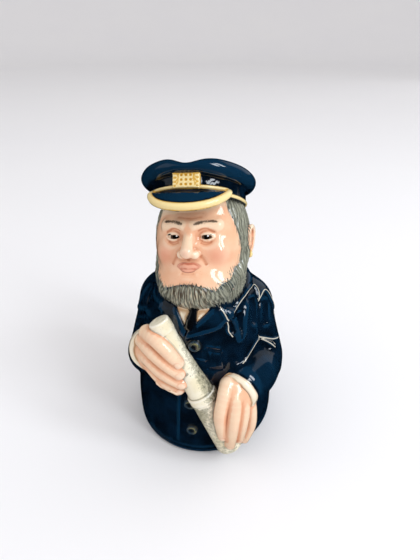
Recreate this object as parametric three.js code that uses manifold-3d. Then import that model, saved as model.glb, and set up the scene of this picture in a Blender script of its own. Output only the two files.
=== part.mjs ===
// A toby jug in the form of a sea captain: one hollow slip-cast piece of glazed earthenware, open at
// the crown of his cap, with a loop handle at the back. Millimetres, +Z up. The captain looks along
// -Y, his own left is +X, and the origin is the middle of the underside.
//
// The coat, arms and head are a relief round a spine: they are put together from soft solids given as
// distance functions, and rays shot in towards the spine find where the skin is. The crown of the cap
// and its rolled rim are swept by formula in the same skin. Everything crisp (forearms, hands, cuffs,
// telescope, lapels, collar, buttons, peak, badge, eyes, lips, ears, handle) is a solid joined to it,
// and the hollow is cut out last.

import * as THREE from "three";
import { mergeVertices } from "three/addons/utils/BufferGeometryUtils.js";
import Module from "manifold-3d";

const DEGREE = Math.PI / 180;

// ---------------------------------------------------------------- driving dimensions

const COLUMNS = 42; // facets round the jug
const FRONT_CROWDING = 0.5; // share by which columns crowd towards the face
const REACH = 46; // where the rays start, beyond everything
const FLOOR = 4; // thickness of the bottom
const FOOT_ROUND = 1.2; // radius under the foot
const HEM = { height: 2.9, deep: 0.5, half: 0.5 }; // groove above the hem of the coat

// Trunk of the coat without arms: height, half width, half depth, how far its centre lies back.
const TRUNK = [
  [0, 25.4, 27.1, -0.5],
  [3, 25.8, 27.8, -0.5],
  [12, 25.7, 27.8, -0.6],
  [25, 24.9, 27.1, -0.8],
  [36, 23.6, 26.0, -1.2],
  [46, 21.6, 24.4, -1.8],
  [53, 19.0, 22.0, -2.6],
  [58, 16.4, 19.0, -3.8],
  [62, 12.5, 15.5, -5.0],
];
const TRUNK_TOP = 61;

// The head leans back, and leans and turns a little to his right. The cap leans back further still.
const NECK = [1.0, -8.5, 59];
const HEAD_TURN = { pitch: -20 * DEGREE, roll: -6 * DEGREE, yaw: -5 * DEGREE };
const CAP_SEAT = [-1.4, 0.3, 27.0]; // in the head's frame
const CAP_TURN = { pitch: -11 * DEGREE, yaw: 5 * DEGREE };

// Cap, in its own frame.
const BAND = { halfWidth: 15.1, halfDepth: 17.0 };
const BAND_TALL = { all: 3.4, brow: 1.1, spread: 0.6 };
const CREST = { all: 8.7, brow: 0.7, lip: 1.8, lipSpread: 0.24 };
const ROLL = { half: 3.4, inset: 0.4 };
const PEAK = { reach: 3.4, halfAngle: 43 * DEGREE, drop: 5.6, thick: 1.3, piping: 1.05, rings: 12 };
const BADGE = { wide: 7.8, tall: 4.6, proud: 0.9 };

const BUTTON = { radius: 1.9, proud: 1.0, places: [[0.9, 47.6], [0.2, 36.2], [-0.6, 24.8], [-0.1, 13]] };
const CUFF = { radius: 7.6, wall: 1.5 };
const HANDLE = { halfWide: 3.6, halfDeep: 2.9 };

// ---------------------------------------------------------------- frames

const frame = (position, { pitch = 0, roll = 0, yaw = 0 } = {}) =>
  new THREE.Matrix4().makeRotationY(roll)
    .multiply(new THREE.Matrix4().makeRotationZ(yaw))
    .multiply(new THREE.Matrix4().makeRotationX(pitch))
    .setPosition(...position);

const HEAD = frame(NECK, HEAD_TURN);
const CAP = HEAD.clone().multiply(frame(CAP_SEAT, CAP_TURN));
const BODY = new THREE.Matrix4();

const place = (where, x, y, z) => new THREE.Vector3(x, y, z).applyMatrix4(where);

// ---------------------------------------------------------------- distance functions

// Each maker returns a function of a point that is negative inside. `where` is the part's frame.

function ellipsoid(where, centre, radii, turn = [0, 0, 0]) {
  const spin = new THREE.Matrix4().makeRotationFromEuler(new THREE.Euler(...turn));
  const inward = where.clone().multiply(spin.setPosition(...centre)).invert();
  const size = new THREE.Vector3(...radii);
  return (point) => {
    const scaled = point.clone().applyMatrix4(inward).divide(size);
    const level = scaled.length();
    const slope = scaled.divide(size).length();
    return slope < 1e-6 ? -Math.min(...radii) : (level * (level - 1)) / slope;
  };
}

// A ball rolled from one point to another while its radius changes.
function roundCone(where, from, to, radiusFrom, radiusTo = radiusFrom) {
  const start = place(where, ...from);
  const along = place(where, ...to).sub(start);
  const length2 = along.lengthSq();
  return (point) => {
    const gap = point.clone().sub(start);
    const share = THREE.MathUtils.clamp(gap.dot(along) / length2, 0, 1);
    return gap.addScaledVector(along, -share).length() - radiusFrom - (radiusTo - radiusFrom) * share;
  };
}

// A chain of round cones through [x, y, z, radius] knots.
const chain = (where, knots) =>
  knots.slice(1).map((knot, i) =>
    roundCone(where, knots[i].slice(0, 3), knot.slice(0, 3), knots[i][3], knot[3]));

// A smooth curve through one column of a table, by height.
function tableAt(table, height, column) {
  const last = table.length - 1;
  let i = 0;
  while (i < last - 1 && height > table[i + 1][0]) i += 1;
  const [before, from, to, after] = [i - 1, i, i + 1, i + 2].map((k) =>
    table[THREE.MathUtils.clamp(k, 0, last)]);
  const span = to[0] - from[0];
  const share = THREE.MathUtils.clamp((height - from[0]) / span, 0, 1);
  const slope = (a, b) => (b[0] === a[0] ? 0 : ((b[column] - a[column]) / (b[0] - a[0])) * span);
  const [s2, s3] = [share ** 2, share ** 3];
  return from[column] * (2 * s3 - 3 * s2 + 1) + to[column] * (3 * s2 - 2 * s3)
    + slope(before, to) * (s3 - 2 * s2 + share) + slope(from, after) * (s3 - s2);
}

const trunkAt = (height) =>
  [1, 2, 3].map((column) => tableAt(TRUNK, THREE.MathUtils.clamp(height, 0, TRUNK_TOP), column));

function trunk(point) {
  const [wide, deep, back] = trunkAt(point.z);
  const level = Math.hypot(point.x / wide, (point.y - back) / deep);
  return Math.max((level - 1) * Math.min(wide, deep) * 0.8, point.z - TRUNK_TOP);
}

// A point on the front of the coat, pushed out by `proud`.
function onCoat(x, height, proud) {
  const [wide, deep, back] = trunkAt(height);
  const y = back - deep * Math.sqrt(Math.max(0, 1 - (x / wide) ** 2));
  const out = new THREE.Vector3(x / wide ** 2, (y - back) / deep ** 2, 0.012).normalize();
  return new THREE.Vector3(x, y, height).addScaledVector(out, proud);
}

const mirrored = (make) => [-1, 1].flatMap((side) => make(side));

// ---------------------------------------------------------------- coat and head

const softly = (blend, ...solids) => solids.flat(3).map((distance) => ({ distance, blend }));
const cutting = (blend, ...solids) => softly(blend, ...solids).map((solid) => ({ ...solid, cuts: true }));

function shouldersAndUpperArms() {
  const shoulders = mirrored((side) => roundCone(BODY, [side * 6, 0, 51.6], [side * 14.8, 0, 49], 8));
  const arms = [
    roundCone(BODY, [-15, 0, 48.6], [-18.8, -5, 28], 8, 9.4),
    roundCone(BODY, [15.4, 0, 48.6], [19.6, -4.5, 28], 8, 9.9),
  ];
  return [...softly(5, shoulders), ...softly(2.5, arms)];
}

function head() {
  const skull = [
    ellipsoid(HEAD, [0, 0.4, 15], [15.2, 15, 21]),
    ellipsoid(HEAD, [0, -3, 3], [13.6, 14.4, 10]),
  ];
  const face = [
    ellipsoid(HEAD, [0, -4.2, 13.5], [12.8, 11.2, 14]),
    ellipsoid(HEAD, [0, -7.6, 6], [9.4, 8.2, 6.6]),
  ];
  const cheeks = mirrored((side) => ellipsoid(HEAD, [side * 6.4, -10.4, 12.2], [4.6, 4, 4.4]));
  const brow = mirrored((side) => roundCone(HEAD, [side * 1.6, -13.9, 19.8], [side * 7.8, -11.6, 20.2], 1.7, 1.5));
  const sockets = mirrored((side) => ellipsoid(HEAD, [side * 5.1, -15.8, 17], [3.1, 2.9, 2.1]));
  const nose = [
    roundCone(HEAD, [0, -14, 18.6], [0, -17.4, 12.7], 1.2, 1.9),
    mirrored((side) => ellipsoid(HEAD, [side * 2, -15.8, 11.9], [1.4, 1.7, 1.3])),
  ];
  const chin = ellipsoid(HEAD, [0, -13.6, 4.2], [3.4, 3, 2.1]);
  return [
    ...softly(3, skull), ...softly(2, face, cheeks), ...softly(1.8, brow), ...cutting(1.8, sockets),
    ...softly(0.9, nose, chin),
  ];
}

// A chin curtain: from in front of each ear, round the jaw, longest at the chin.
function beard() {
  const jaw = mirrored((side) => chain(HEAD, [
    [side * 13.6, -1, 11, 1.8], [side * 12.0, -5.8, 5.6, 2.3], [side * 8.0, -11.2, 1.6, 3.1],
    [0, -13.8, 0.2, 3.6],
  ]));
  return softly(1.6, jaw, ellipsoid(HEAD, [0, -13, -1.0], [6.6, 4, 3.2]));
}

// The drum of the cap, up to where the crown starts.
const bandRadius = (angle) => 1 / Math.hypot(Math.sin(angle) / BAND.halfWidth, Math.cos(angle) / BAND.halfDepth);

function band() {
  const inward = CAP.clone().invert();
  return softly(0.2, (point) => {
    const local = point.clone().applyMatrix4(inward);
    const angle = Math.atan2(local.x, -local.y);
    return Math.max(Math.hypot(local.x, local.y) - bandRadius(angle), -local.z - 0.8);
  });
}

const solids = [
  ...softly(0.1, trunk), ...shouldersAndUpperArms(), ...head(), ...beard(), ...band(),
];

// The smaller of two distances, with the crease between them rounded over `blend`.
function smoothMin(a, b, blend) {
  const mix = Math.max(blend - Math.abs(a - b), 0) / blend;
  return Math.min(a, b) - (mix * mix * blend) / 4;
}

function figureDistance(point) {
  let nearest = REACH;
  for (const { distance, blend, cuts } of solids) {
    const gap = distance(point);
    nearest = cuts ? -smoothMin(-nearest, gap, blend) : smoothMin(nearest, gap, blend);
  }
  return nearest;
}

// ---------------------------------------------------------------- rows of the skin

// The spine carries the rows: upright in the trunk, leaning with the head, then with the cap.
const SPINE = [
  { at: 0, matrix: BODY },
  { at: 46, matrix: frame([0, -1.2, 46]) },
  { at: 70, matrix: HEAD.clone().multiply(frame([0, 0, 10])) },
  { at: 88, matrix: CAP },
  { at: 93, matrix: CAP.clone().multiply(frame([0, 0, 5])) },
].map(({ at, matrix }) => {
  const position = new THREE.Vector3();
  const turn = new THREE.Quaternion();
  matrix.decompose(position, turn, new THREE.Vector3());
  return { at, position, turn };
});

function onSpine(station) {
  let i = 0;
  while (i < SPINE.length - 2 && station > SPINE[i + 1].at) i += 1;
  const [from, to] = [SPINE[i], SPINE[i + 1]];
  const share = (station - from.at) / (to.at - from.at);
  return new THREE.Matrix4().compose(
    from.position.clone().lerp(to.position, share),
    from.turn.clone().slerp(to.turn, share),
    new THREE.Vector3(1, 1, 1));
}

const angles = Array.from({ length: COLUMNS }, (_, column) => {
  const turn = (column / COLUMNS) * 2 * Math.PI;
  return turn - FRONT_CROWDING * Math.sin(turn);
});

const outAlong = (matrix, angle, radius, height = 0) =>
  place(matrix, Math.sin(angle) * radius, -Math.cos(angle) * radius, height);

// Walks in along a ray towards the spine and stops at the skin.
function skinPoint(matrix, angle, height = 0) {
  const point = outAlong(matrix, angle, REACH, height);
  const inward = outAlong(matrix, angle, 0, height).sub(point).normalize();
  for (let i = 0; i < 80; i += 1) {
    const gap = figureDistance(point);
    if (gap < 0.01) break;
    point.addScaledVector(inward, gap * 0.85);
  }
  return point;
}

const ringAt = (station) => angles.map((angle) => skinPoint(onSpine(station), angle));

// The same ring drawn in towards the axis of the jug, at another height.
const drawnIn = (ring, inset, height) => ring.map((point) => {
  const shrink = 1 - inset / Math.hypot(point.x, point.y);
  return new THREE.Vector3(point.x * shrink, point.y * shrink, height);
});

function coatAndHeadRows() {
  const foot = ringAt(FOOT_ROUND);
  const hem = ringAt(HEM.height);
  const rows = [
    drawnIn(foot, FOOT_ROUND, 0), drawnIn(foot, FOOT_ROUND * 0.3, FOOT_ROUND * 0.3), foot,
    drawnIn(hem, 0, HEM.height - HEM.half), drawnIn(hem, HEM.deep, HEM.height),
    drawnIn(hem, 0, HEM.height + HEM.half),
  ];
  for (let at = 7; at < 60; at += 5.8) rows.push(ringAt(at));
  for (let at = 60.8; at < 87.8; at += 1.5) rows.push(ringAt(at));
  return rows;
}

const bell = (angle, spread) => Math.exp(-((Math.atan2(Math.sin(angle), Math.cos(angle)) / spread) ** 2));
const bandTop = (angle) => BAND_TALL.all + BAND_TALL.brow * bell(angle, BAND_TALL.spread);
const crest = (angle) => CREST.all + CREST.brow * Math.cos(angle) - CREST.lip * bell(angle, CREST.lipSpread);

// The band, then the crown, up and over its rolled edge to where the mouth is cut.
function bandAndCrownRows() {
  const rows = [0.15, 0.95].map((share) => angles.map((angle) => skinPoint(CAP, angle, bandTop(angle) * share)));
  const start = -Math.acos(ROLL.inset / ROLL.half);
  const end = 170 * DEGREE;
  const steps = 7;
  for (let i = 0; i <= steps; i += 1) {
    const turn = start + ((end - start) * i) / steps;
    rows.push(angles.map((angle) => {
      const [low, high] = [bandTop(angle), crest(angle)];
      const radius = bandRadius(angle) - ROLL.inset + ROLL.half * Math.cos(turn);
      return outAlong(CAP, angle, radius, low + ((high - low) / 2) * (1 + Math.sin(turn)));
    }));
  }
  return rows;
}

// The hollow, from the floor up: spine station, half width, half depth, how far its centre lies back.
const HOLLOW = [
  [FLOOR, 17, 18, 0], [10, 22.0, 23.2, 0], [38, 19.4, 20.8, 0.4], [51, 15.6, 17, 1],
  [60, 12, 12.5, 1.8], [67, 11, 10.8, 1.2], [80, 11.4, 11.8, 0.5], [91, 11.8, 13.7, 0],
  [101, 11.8, 13.7, 0],
];

const hollowRows = () => HOLLOW.map(([at, wide, deep, back]) => {
  const matrix = onSpine(at);
  return angles.map((angle) => place(matrix, Math.sin(angle) * wide, back - Math.cos(angle) * deep, 0));
});

// ---------------------------------------------------------------- skins and solids

const wasm = await Module();
wasm.setup();

function solidFrom(geometry) {
  const bare = geometry.clone();
  for (const name of ["normal", "uv"]) bare.deleteAttribute(name);
  const merged = mergeVertices(bare, 1e-4);
  return new wasm.Manifold(new wasm.Mesh({
    numProp: 3,
    vertProperties: merged.attributes.position.array,
    triVerts: new Uint32Array(merged.index.array),
  }));
}

function geometryFrom(solid) {
  const { vertProperties, triVerts } = solid.getMesh();
  const geometry = new THREE.BufferGeometry();
  geometry.setAttribute("position", new THREE.BufferAttribute(vertProperties, 3));
  geometry.setIndex(new THREE.BufferAttribute(triVerts, 1));
  geometry.computeVertexNormals();
  return geometry;
}

function indexed(points, faces) {
  const geometry = new THREE.BufferGeometry().setFromPoints(points);
  geometry.setIndex(faces);
  return geometry;
}

// Joins rings of points into one closed skin with a fan at each end. Seen from the end a ring runs to,
// its points go anticlockwise.
function closedSkin(rings, first = centreOf(rings[0]), last = centreOf(rings.at(-1))) {
  const columns = rings[0].length;
  const points = [first, ...rings.flat(), last];
  const at = (ring, column) => 1 + ring * columns + (column % columns);
  const faces = [];
  for (let column = 0; column < columns; column += 1) {
    faces.push(0, at(0, column + 1), at(0, column));
    faces.push(points.length - 1, at(rings.length - 1, column), at(rings.length - 1, column + 1));
    for (let ring = 0; ring < rings.length - 1; ring += 1) {
      const [a, b] = [at(ring, column), at(ring, column + 1)];
      const [c, d] = [at(ring + 1, column + 1), at(ring + 1, column)];
      faces.push(a, b, c, a, c, d);
    }
  }
  return solidFrom(indexed(points, faces));
}

const centreOf = (ring) =>
  ring.reduce((sum, point) => sum.add(point), new THREE.Vector3()).divideScalar(ring.length);

const ACROSS = new THREE.Vector3(0, -1, 0);
const UP = new THREE.Vector3(0, 0, 1);

// A round ring square to `axis`, starting from the side nearest `towards`.
function ringRound(centre, axis, radius, sides, towards) {
  const other = axis.clone().cross(towards).normalize();
  const side = other.clone().cross(axis).normalize();
  return Array.from({ length: sides }, (_, i) => {
    const turn = (i / sides) * 2 * Math.PI;
    return centre.clone()
      .addScaledVector(side, Math.cos(turn) * radius)
      .addScaledVector(other, Math.sin(turn) * radius);
  });
}

// A bar turned round the line from one point to another; its profile is [share of the length, radius].
function turned(from, to, profile, sides) {
  const start = new THREE.Vector3(...from);
  const axis = new THREE.Vector3(...to).sub(start);
  const square = axis.clone().normalize();
  return closedSkin(profile.map(([share, radius]) =>
    ringRound(start.clone().addScaledVector(axis, share), square, radius, sides, UP)));
}

// A bar with round ends swept through [x, y, z, radius] knots.
function swept(knots, towards, sides = 7, perSpan = 2) {
  const curve = new THREE.CatmullRomCurve3(knots.map(([x, y, z]) => new THREE.Vector3(x, y, z)));
  const count = (knots.length - 1) * perSpan;
  const rings = [];
  const add = (share, along, scale) => {
    const axis = curve.getTangent(share);
    const spot = share * (knots.length - 1);
    const i = Math.min(Math.floor(spot), knots.length - 2);
    const radius = knots[i][3] + (knots[i + 1][3] - knots[i][3]) * (spot - i);
    rings.push(ringRound(curve.getPoint(share).addScaledVector(axis, along * radius), axis, radius * scale, sides, towards));
  };
  add(0, -0.85, 0.5);
  for (let i = 0; i <= count; i += 1) add(i / count, 0, 1);
  add(1, 0.85, 0.5);
  return closedSkin(rings);
}

function ball(where, centre, radii, turn = [0, 0, 0], across = 10, along = 7) {
  const geometry = new THREE.SphereGeometry(1, across, along);
  const spin = new THREE.Matrix4().makeRotationFromEuler(new THREE.Euler(...turn)).setPosition(...centre);
  geometry.applyMatrix4(new THREE.Matrix4().makeScale(...radii));
  geometry.applyMatrix4(where.clone().multiply(spin));
  return solidFrom(geometry);
}

// A plate laid on the front of the coat: an outline of [x, height] corners, anticlockwise seen from the
// front, standing `proud` of the coat.
function plate(outline, proud, sunk = 1.6) {
  const contour = outline.flatMap(([x, height], i) => {
    const [nextX, nextHeight] = outline[(i + 1) % outline.length];
    const parts = Math.ceil(Math.hypot(nextX - x, nextHeight - height) / 3.2);
    return Array.from({ length: parts }, (_, k) => new THREE.Vector2(
      x + ((nextX - x) * k) / parts, height + ((nextHeight - height) * k) / parts));
  });
  const count = contour.length;
  const points = [proud, -sunk].flatMap((out) => contour.map(({ x, y }) => onCoat(x, y, out)));
  const front = THREE.ShapeUtils.triangulateShape(contour, []);
  const faces = front.flatMap(([a, b, c]) => [a, b, c, c + count, b + count, a + count]);
  for (let i = 0; i < count; i += 1) {
    const next = (i + 1) % count;
    faces.push(i, i + count, next, next, i + count, next + count);
  }
  return solidFrom(indexed(points, faces));
}

// ---------------------------------------------------------------- crisp parts

// The telescope bends slightly at its joint: eyepiece by his right breast, wide end by his left foot.
function telescope() {
  const [eye, joint, end] = [[-10.2, -25.6, 55.6], [4.3, -28.2, 28.2], [12.8, -26.2, 6]];
  const narrow = turned(eye, joint, [
    [0, 2.9], [0.02, 3.3], [0.13, 3.3], [0.14, 3.1], [0.9, 4.3], [0.91, 4.9], [1, 4.9],
  ], 15);
  const wide = turned(joint, end, [[-0.08, 4.6], [0.96, 4.9], [1, 4.4]], 15);
  return [narrow, wide];
}

// A finger with the bone behind it: wrist, knuckle, middle joint, tip.
const finger = (wrist, knuckle, joint, tip, radius) => swept([
  [...wrist, radius * 1.25], [...knuckle, radius * 1.08], [...joint, radius], [...tip, radius * 0.86],
], ACROSS, 6, 1);

function rightHand() {
  return [
    ball(BODY, [-11.4, -25.8, 42.8], [5.6, 4.4, 7.4], [0, 0.45, 0]),
    finger([-14.2, -25, 50], [-10.4, -29, 51], [-6.4, -30.6, 48], [-3.4, -30.8, 44.2], 2.2),
    finger([-15.6, -25, 47], [-12.2, -29, 46.8], [-7.4, -31, 43.8], [-3, -31.2, 40.2], 2.2),
    finger([-15.8, -25, 43], [-12.8, -28.6, 42.6], [-7.8, -30.8, 39.4], [-2.6, -30.8, 36], 2.3),
    finger([-15, -24.4, 39.6], [-12.4, -27.8, 38.4], [-8, -29.8, 35], [-3.6, -29.6, 32.2], 2.1),
  ];
}

function leftHand() {
  return [
    ball(BODY, [14.3, -26.8, 28.8], [5.0, 4, 6.2], [0.1, 0.35, 0]),
    finger([11.6, -27.2, 34.2], [10.9, -30.6, 31.6], [10.1, -32.6, 24.6], [11, -32, 16], 2.1),
    finger([13.8, -27, 33.4], [14.5, -30.8, 29.4], [14.2, -32.4, 21], [13.5, -31, 11], 2.1),
    finger([16, -25.8, 31.6], [17.3, -29.2, 27.4], [17.1, -30.4, 20.6], [16.4, -29.4, 12.6], 1.9),
    finger([17.6, -24, 29.2], [19.4, -26.2, 24.6], [19.8, -26.6, 16.6], [18, -26.4, 9], 1.8),
  ];
}

const forearms = () => [
  swept([[-18.4, -7, 28.4, 9.2], [-16.4, -14.5, 34.6, 8.6], [-13.8, -21, 41, 7.2]], UP, 14, 1),
  swept([[19.4, -6.5, 28, 9.6], [18.4, -14.5, 29.4, 8.9], [16, -21.5, 30.6, 7.6]], UP, 14, 1),
];

function cuffs() {
  const inner = CUFF.radius - CUFF.wall;
  const profile = [[0, inner], [0.15, CUFF.radius], [0.85, CUFF.radius], [1, inner]];
  return [
    turned([-15.6, -20, 40.8], [-13.2, -25, 43.6], profile, 14),
    turned([16.6, -20.8, 30.4], [14.6, -26.4, 29.4], profile, 14),
  ];
}

// Collar stand and fall round the neck, then the lapels down to the top button.
function collarAndLapels() {
  const collar = mirrored((side) => swept([
    [0, 9.6, 59, 2.8], [side * 9.5, 6, 59.4, 2.8], [side * 13.8, -3, 59.2, 2.7],
    [side * 11.6, -12, 59, 2.4], [side * 6.6, -19.4, 59.6, 1.8],
  ], UP, 7, 1));
  const lapels = [
    [[-2, 50.2], [8.8, 52.9], [12.4, 57], [9.8, 58.3], [9.4, 60.8], [7.4, 60.8], [-1, 52.9]],
    [[-2.4, 50.4], [-1.6, 52.6], [-6.4, 60.8], [-8.6, 60.8], [-10.4, 59.2], [-11.8, 56.5], [-9, 53.6]],
  ].map((outline) => plate(outline, 1.1));
  return [...collar, ...lapels];
}

const shirt = () => plate([[-6.8, 60.8], [-1.2, 52.8], [7.8, 60.8]], 0.4);
const tie = () => swept([
  [0.4, -21.6, 61.2, 1.3], [0.3, -23.1, 58.6, 1.1], [-0.2, -24.2, 56, 1.6], [-0.8, -24.7, 53.8, 1.4],
], ACROSS, 6, 1);

function buttons() {
  return BUTTON.places.map(([x, height]) => {
    const face = onCoat(x, height, BUTTON.proud);
    return turned([x, face.y + 3, height], face.toArray(), [
      [0, BUTTON.radius], [0.85, BUTTON.radius], [1, BUTTON.radius * 0.75],
    ], 10);
  });
}

// The peak of the cap: a crescent that falls steeply from the bottom of the band, piped at its edge.
function peak() {
  const rings = [];
  const edge = [];
  for (let i = 0; i <= PEAK.rings; i += 1) {
    const angle = PEAK.halfAngle * (-1 + (2 * i) / PEAK.rings) * 0.995;
    const width = 1 - (angle / PEAK.halfAngle) ** 2;
    const root = bandRadius(angle);
    const reach = 0.5 + PEAK.reach * Math.sqrt(width);
    const drop = PEAK.drop * width;
    const half = PEAK.thick / 2;
    const section = [
      [-2, half + 0.3], [reach * 0.6, half - drop * 0.42], [reach, half - drop],
      [reach, -half - drop], [reach * 0.6, -half - drop * 0.42], [-2, -half],
    ];
    rings.push(section.map(([out, up]) => outAlong(CAP, angle, root + out, up)));
    edge.push([...outAlong(CAP, angle, root + reach, -drop).toArray(), PEAK.piping]);
  }
  return [closedSkin(rings), swept(edge, UP, 5, 1)];
}

// A flat plate on the front of the band.
function badge() {
  const half = [BADGE.wide / 2, BADGE.tall / 2];
  const shape = new THREE.Shape([
    [-half[0], -half[1]], [half[0], -half[1]], [half[0], half[1]], [-half[0], half[1]],
  ].map(([x, y]) => new THREE.Vector2(x, y)));
  const geometry = new THREE.ExtrudeGeometry(shape, {
    depth: 2, bevelSize: 0.3, bevelThickness: 0.3, bevelSegments: 1, bevelOffset: -0.3,
  });
  geometry.rotateX(Math.PI / 2);
  geometry.translate(0, -BAND.halfDepth - BADGE.proud + 2.3, 2.7);
  return solidFrom(geometry.applyMatrix4(CAP));
}

// Eyeballs, ears and lips.
const inHead = (knots) => knots.map(([x, y, z, radius]) => [...place(HEAD, x, y, z).toArray(), radius]);

const eyes = () => mirrored((side) =>
  ball(HEAD, [side * 5, -11.7, 16.9], [2.6, 2.4, 1.9], [0, 0, 0], 8, 6));

const lips = () => [
  swept(inHead([[-3.2, -15.3, 8.3, 0.7], [0, -16.2, 8.9, 1.1], [3.2, -15.3, 8.3, 0.7]]), UP, 6, 1),
  swept(inHead([[-2.6, -15.6, 7.5, 0.7], [0, -16.2, 7.1, 1.2], [2.6, -15.6, 7.5, 0.7]]), UP, 6, 1),
];

const ears = () => mirrored((side) =>
  ball(HEAD, [side * 14.6, 0.6, 15.4], [1.5, 2.7, 4.2], [0.15, 0, 0], 8, 6));

// A loop from the back of the head to the back of the coat.
function handle() {
  const knots = [[6, 75], [16, 76], [27, 73.5], [34, 64.5], [36, 53], [34, 41], [28.5, 30], [21, 23.5]];
  const curve = new THREE.CatmullRomCurve3(knots.map(([back, height]) => new THREE.Vector3(0, back, height)));
  const [lengths, sides] = [14, 9];
  const rings = Array.from({ length: lengths + 1 }, (_, i) => {
    const axis = curve.getTangent(i / lengths);
    const outward = axis.clone().cross(new THREE.Vector3(1, 0, 0));
    return Array.from({ length: sides }, (__, k) => {
      const turn = (k / sides) * 2 * Math.PI;
      return curve.getPoint(i / lengths)
        .add(new THREE.Vector3(Math.cos(turn) * HANDLE.halfWide, 0, 0))
        .addScaledVector(outward, Math.sin(turn) * HANDLE.halfDeep);
    });
  });
  return closedSkin(rings);
}

// ---------------------------------------------------------------- assembly

const figure = closedSkin([...coatAndHeadRows(), ...bandAndCrownRows()]);

const crisp = [
  ...telescope(), ...forearms(), ...cuffs(), ...rightHand(), ...leftHand(), ...collarAndLapels(), shirt(), tie(),
  ...buttons(), ...peak(), badge(), ...eyes(), ...lips(), ...ears(), handle(),
].reduce((sum, solid) => sum.add(solid));

// Keeping only the largest piece fills any pocket sealed between two joined parts.
const [whole] = figure.add(crisp).subtract(closedSkin(hollowRows())).decompose()
  .sort((a, b) => b.volume() - a.volume());

const glazed = new THREE.MeshStandardMaterial({ color: 0x10243a, roughness: 0.12, metalness: 0 });
const jug = new THREE.Mesh(geometryFrom(whole), glazed);
jug.name = "toby_jug";

const part = new THREE.Group();
part.add(jug);
export default part;
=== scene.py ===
import math

import bpy
import numpy as np
from mathutils import Matrix, Vector


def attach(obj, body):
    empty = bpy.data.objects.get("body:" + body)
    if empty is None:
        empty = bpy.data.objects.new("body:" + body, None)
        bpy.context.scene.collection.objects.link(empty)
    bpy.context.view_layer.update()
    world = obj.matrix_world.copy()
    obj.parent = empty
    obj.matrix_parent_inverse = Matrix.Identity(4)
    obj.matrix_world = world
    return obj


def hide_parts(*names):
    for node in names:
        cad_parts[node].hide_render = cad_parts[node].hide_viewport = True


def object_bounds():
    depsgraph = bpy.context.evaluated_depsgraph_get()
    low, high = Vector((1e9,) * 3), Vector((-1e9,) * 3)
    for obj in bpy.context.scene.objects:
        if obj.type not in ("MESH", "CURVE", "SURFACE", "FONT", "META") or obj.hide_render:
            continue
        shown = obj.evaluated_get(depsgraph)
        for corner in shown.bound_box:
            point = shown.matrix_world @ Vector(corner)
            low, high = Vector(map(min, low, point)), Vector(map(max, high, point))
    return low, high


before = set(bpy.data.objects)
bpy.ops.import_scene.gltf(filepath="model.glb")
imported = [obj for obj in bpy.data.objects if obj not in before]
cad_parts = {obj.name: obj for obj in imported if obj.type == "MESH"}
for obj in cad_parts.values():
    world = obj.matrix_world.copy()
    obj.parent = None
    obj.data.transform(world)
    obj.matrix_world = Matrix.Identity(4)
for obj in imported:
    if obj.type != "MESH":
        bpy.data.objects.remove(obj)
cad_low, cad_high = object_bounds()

# The dressed toby jug: the same figure as the solid, from the same named sizes, with its modelled
# detail and its painted and glazed finish. Sizes are in millimetres until the mesh is made. The captain
# looks along -Y.

DEGREE = math.pi / 180
CELL = 0.36  # spacing of the grid that the skin is found on
GRID_LOW, GRID_HIGH = np.array([-28.6, -35.6, -1.2]), np.array([29.9, 39.6, 101.6])
ROOM_LOW, ROOM_HIGH = np.array([-24, -25, 2]), np.array([24, 26, GRID_HIGH[2]])
FAR = 9.0  # stands for any distance that is too large to matter
TINY = 1e-3  # least length that is divided by
MOST_TRIANGLES = 196000
SLACK = 0.8  # how far inside the solid's box the skin starts to be drawn in
CRISP_STEP, BROAD_STEP = 0.3, 1.1  # reach over which sharp and broad turns of the skin are felt
MARGIN_KEPT = 3  # paint margins are cut off at this distance
LINING_DEPTH, BARE_FOOT = 0.55, 0.12  # where the cream lining and the unglazed foot begin

# ---- sizes shared with the solid

FLOOR = 4.0
HEM_HEIGHT = 2.9
TRUNK_TOP = 61.0
# Height, half width, half depth and how far back the middle lies.
TRUNK = np.array([
    [0, 25.4, 27.1, -0.5], [3, 25.8, 27.8, -0.5], [12, 25.7, 27.8, -0.6],
    [25, 24.9, 27.1, -0.8], [36, 23.6, 26.0, -1.2], [46, 21.6, 24.4, -1.8],
    [53, 19.0, 22.0, -2.6], [58, 16.4, 19.0, -3.8], [62, 12.5, 15.5, -5.0],
])
HOLLOW = np.array([
    [4, 17, 18, 0], [10, 22.0, 23.2, 0], [38, 19.4, 20.8, 0.4],
    [51, 15.6, 17, 1], [60, 12, 12.5, 1.8], [67, 11, 10.8, 1.2],
    [80, 11.4, 11.8, 0.5], [91, 11.8, 13.7, 0], [101, 11.8, 13.7, 0],
])
BAND_HALF_WIDTH, BAND_HALF_DEPTH = 15.1, 17.0
ROLL_HALF, ROLL_INSET = 3.4, 0.4
PEAK_REACH, PEAK_HALF_ANGLE, PEAK_DROP, PEAK_THICK, PIPING = 3.4, 43 * DEGREE, 5.6, 1.3, 1.05
BADGE_HALF, BADGE_HEIGHT, BADGE_CORNER = np.array([3.9, 1.3, 2.3]), 2.7, 0.35
BADGE_CELL, LATTICE_HALF = (1.35, 1.3), 2.05
BUTTON_RADIUS, BUTTON_PROUD = 1.9, 1.0
BUTTON_PLACES = [(0.9, 47.6), (0.2, 36.2), (-0.6, 24.8), (-0.1, 13)]
HANDLE_WIDE, HANDLE_DEEP = 3.6, 2.9
FLOOR_BLEND, FOOT_BLEND, LIP_BLEND = 3, 1.6, 1.2  # how softly the hollow's corner and the edges turn
EYE_CENTRE, EYEBALL, LID = [5, -11.7, 16.9], [2.6, 2.4, 1.9], [2.95, 2.72, 2.3]
LID_HALF_WIDTH, LID_RISE, LID_FALL = 2.35, 0.72, -0.82  # the opening between the lids

# ---- frames


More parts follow.
